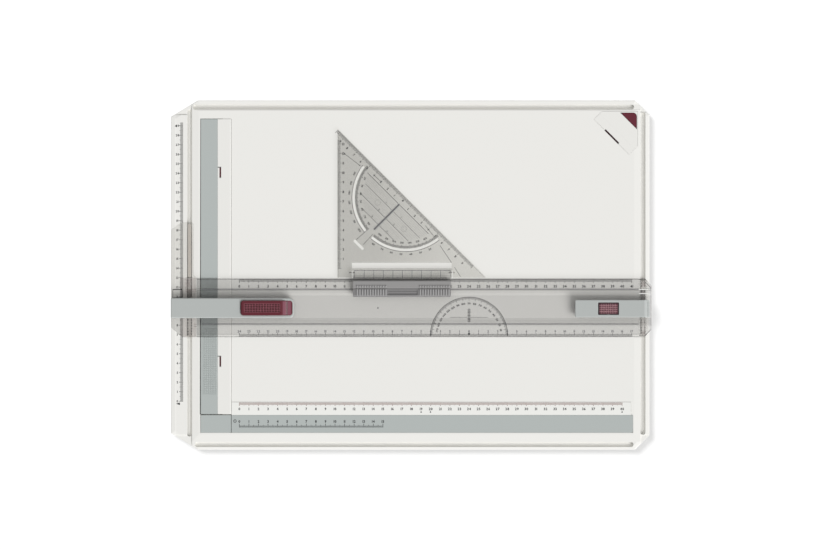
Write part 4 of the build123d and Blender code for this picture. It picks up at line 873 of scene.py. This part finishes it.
# the lever's studs are a darker maroon, painted shade, and both lattices a lighter pink, painted
# highlight on the ridges
relief("lever", ("maroon_cell_shade", "pink_ridge_highlight"), columns=13, x_span=(-174.2, -137.0),
       y_span=(LEVER_Y - 4.3, LEVER_Y + 4.3), base_z=23.50, stud_share=(0.40, 0.38),
       stud_height=0.42, lattice_height=0.30, column_width=0.44, row_width=0.44, skip=0)
relief("button", ("maroon_button", "pale_pink_ridge_highlight"), columns=8, x_span=(196.6, 215.2),
       y_span=(BUTTON_Y - 5.2, BUTTON_Y + 5.2), base_z=20.35, stud_share=(0.38, 0.38),
       stud_height=0.37, lattice_height=0.27, column_width=0.44, row_width=0.50, skip=1)

# painted shade in the gap around the button, drawn as a dark line: start and end as (x, y from
# the button's middle), width
BUTTON_GAP_SHADE = (
    ((195.95, -5.8), (195.95, 5.8), 0.7), ((195.7, 5.6), (216.1, 5.6), 0.55),
    ((215.95, -5.8), (215.95, 5.8), 0.45), ((195.7, -5.65), (216.1, -5.65), 0.4),
)
marks = Solid()
for (x0, y0), (x1, y1), width in BUTTON_GAP_SHADE:
    marks.line((x0, BUTTON_Y + y0), (x1, BUTTON_Y + y1), width, (20.37, 20.45))
marks.make("painted_button_gap_shade", "ink_and_shade_black", "button", "maroon_plastic")

# ------------------------------------------------------------------ stage, in metres
FLOOR_HALF, FLOOR_Z = 6, -0.0001
floor_mesh = bpy.data.meshes.new("floor")
floor_mesh.from_pydata([(x * FLOOR_HALF, y * FLOOR_HALF, FLOOR_Z)
                        for x, y in ((-1, -1), (1, -1), (1, 1), (-1, 1))], [], [(0, 1, 2, 3)])
floor = bpy.data.objects.new("floor", floor_mesh)
bpy.context.scene.collection.objects.link(floor)
m = Shader("mat_floor")
matt = m.first("BsdfDiffuse", {"Color": (0.50, 0.50, 0.50, 1)})
glow = m.first("Emission", {"Color": (1, 1, 1, 1), "Strength": 0.45})
floor_mesh.materials.append(m.finish(m.first("AddShader", {0: matt, 1: glow})))
floor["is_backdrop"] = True

# ------------------------------------------------------------------ light
scene = bpy.context.scene
world = bpy.data.worlds.new("studio")
scene.world = world
world.use_nodes = True
world_tree = world.node_tree
world_tree.nodes.clear()
world_output = world_tree.nodes.new("ShaderNodeOutputWorld")
background = world_tree.nodes.new("ShaderNodeBackground")
background.inputs["Color"].default_value = (1.0, 1.0, 1.0, 1)
background.inputs["Strength"].default_value = 0.46
world_tree.links.new(background.outputs[0], world_output.inputs["Surface"])

# the product and the floor each have their own sun
product = bpy.data.collections.new("product_receivers")
stage_receivers = bpy.data.collections.new("stage_receivers")
scene.collection.children.link(product)
scene.collection.children.link(stage_receivers)
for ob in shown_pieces():
    product.objects.link(ob)
stage_receivers.objects.link(floor)


def sun(name, towards, strength, angle, receivers):
    """A sun that stands in the given direction, with its angular size in degrees."""
    light = bpy.data.lights.new(name, "SUN")
    light.energy = strength
    light.angle = math.radians(angle)
    ob = bpy.data.objects.new(name, light)
    scene.collection.objects.link(ob)
    ob.rotation_euler = Vector(towards).to_track_quat("Z", "Y").to_euler()
    ob.light_linking.receiver_collection = receivers


sun("key_product", towards=(0.60, -0.62, 0.66), strength=2.7, angle=40.0, receivers=product)
sun("key_floor", towards=(-0.46, 0.42, 0.80), strength=3.15, angle=30.0,
    receivers=stage_receivers)

# ------------------------------------------------------------------ camera, looking straight down
VIEW_WIDTH = 862.125            # width in view at the focus height
FOCUS_Z = 0.013                 # metres
LENS, SENSOR = 300.0, 36.0
camera_data = bpy.data.cameras.new("camera")
camera_data.lens = LENS
camera_data.sensor_width = SENSOR
camera_data.clip_start = 0.1
camera_data.clip_end = 30.0
camera = bpy.data.objects.new("camera", camera_data)
scene.collection.objects.link(camera)
camera.location = (0.00131, 0.0, FOCUS_Z + VIEW_WIDTH * MM * LENS / SENSOR)
camera.rotation_euler = (0, 0, 0)
scene.camera = camera

scene.view_settings.view_transform = "Standard"
scene.view_settings.look = "None"
scene.view_settings.exposure = 0.0
scene.view_settings.gamma = 1.0
scene.cycles.max_bounces = 12
scene.cycles.transparent_max_bounces = 24
scene.cycles.transmission_bounces = 12
scene.cycles.caustics_reflective = False
scene.cycles.caustics_refractive = False
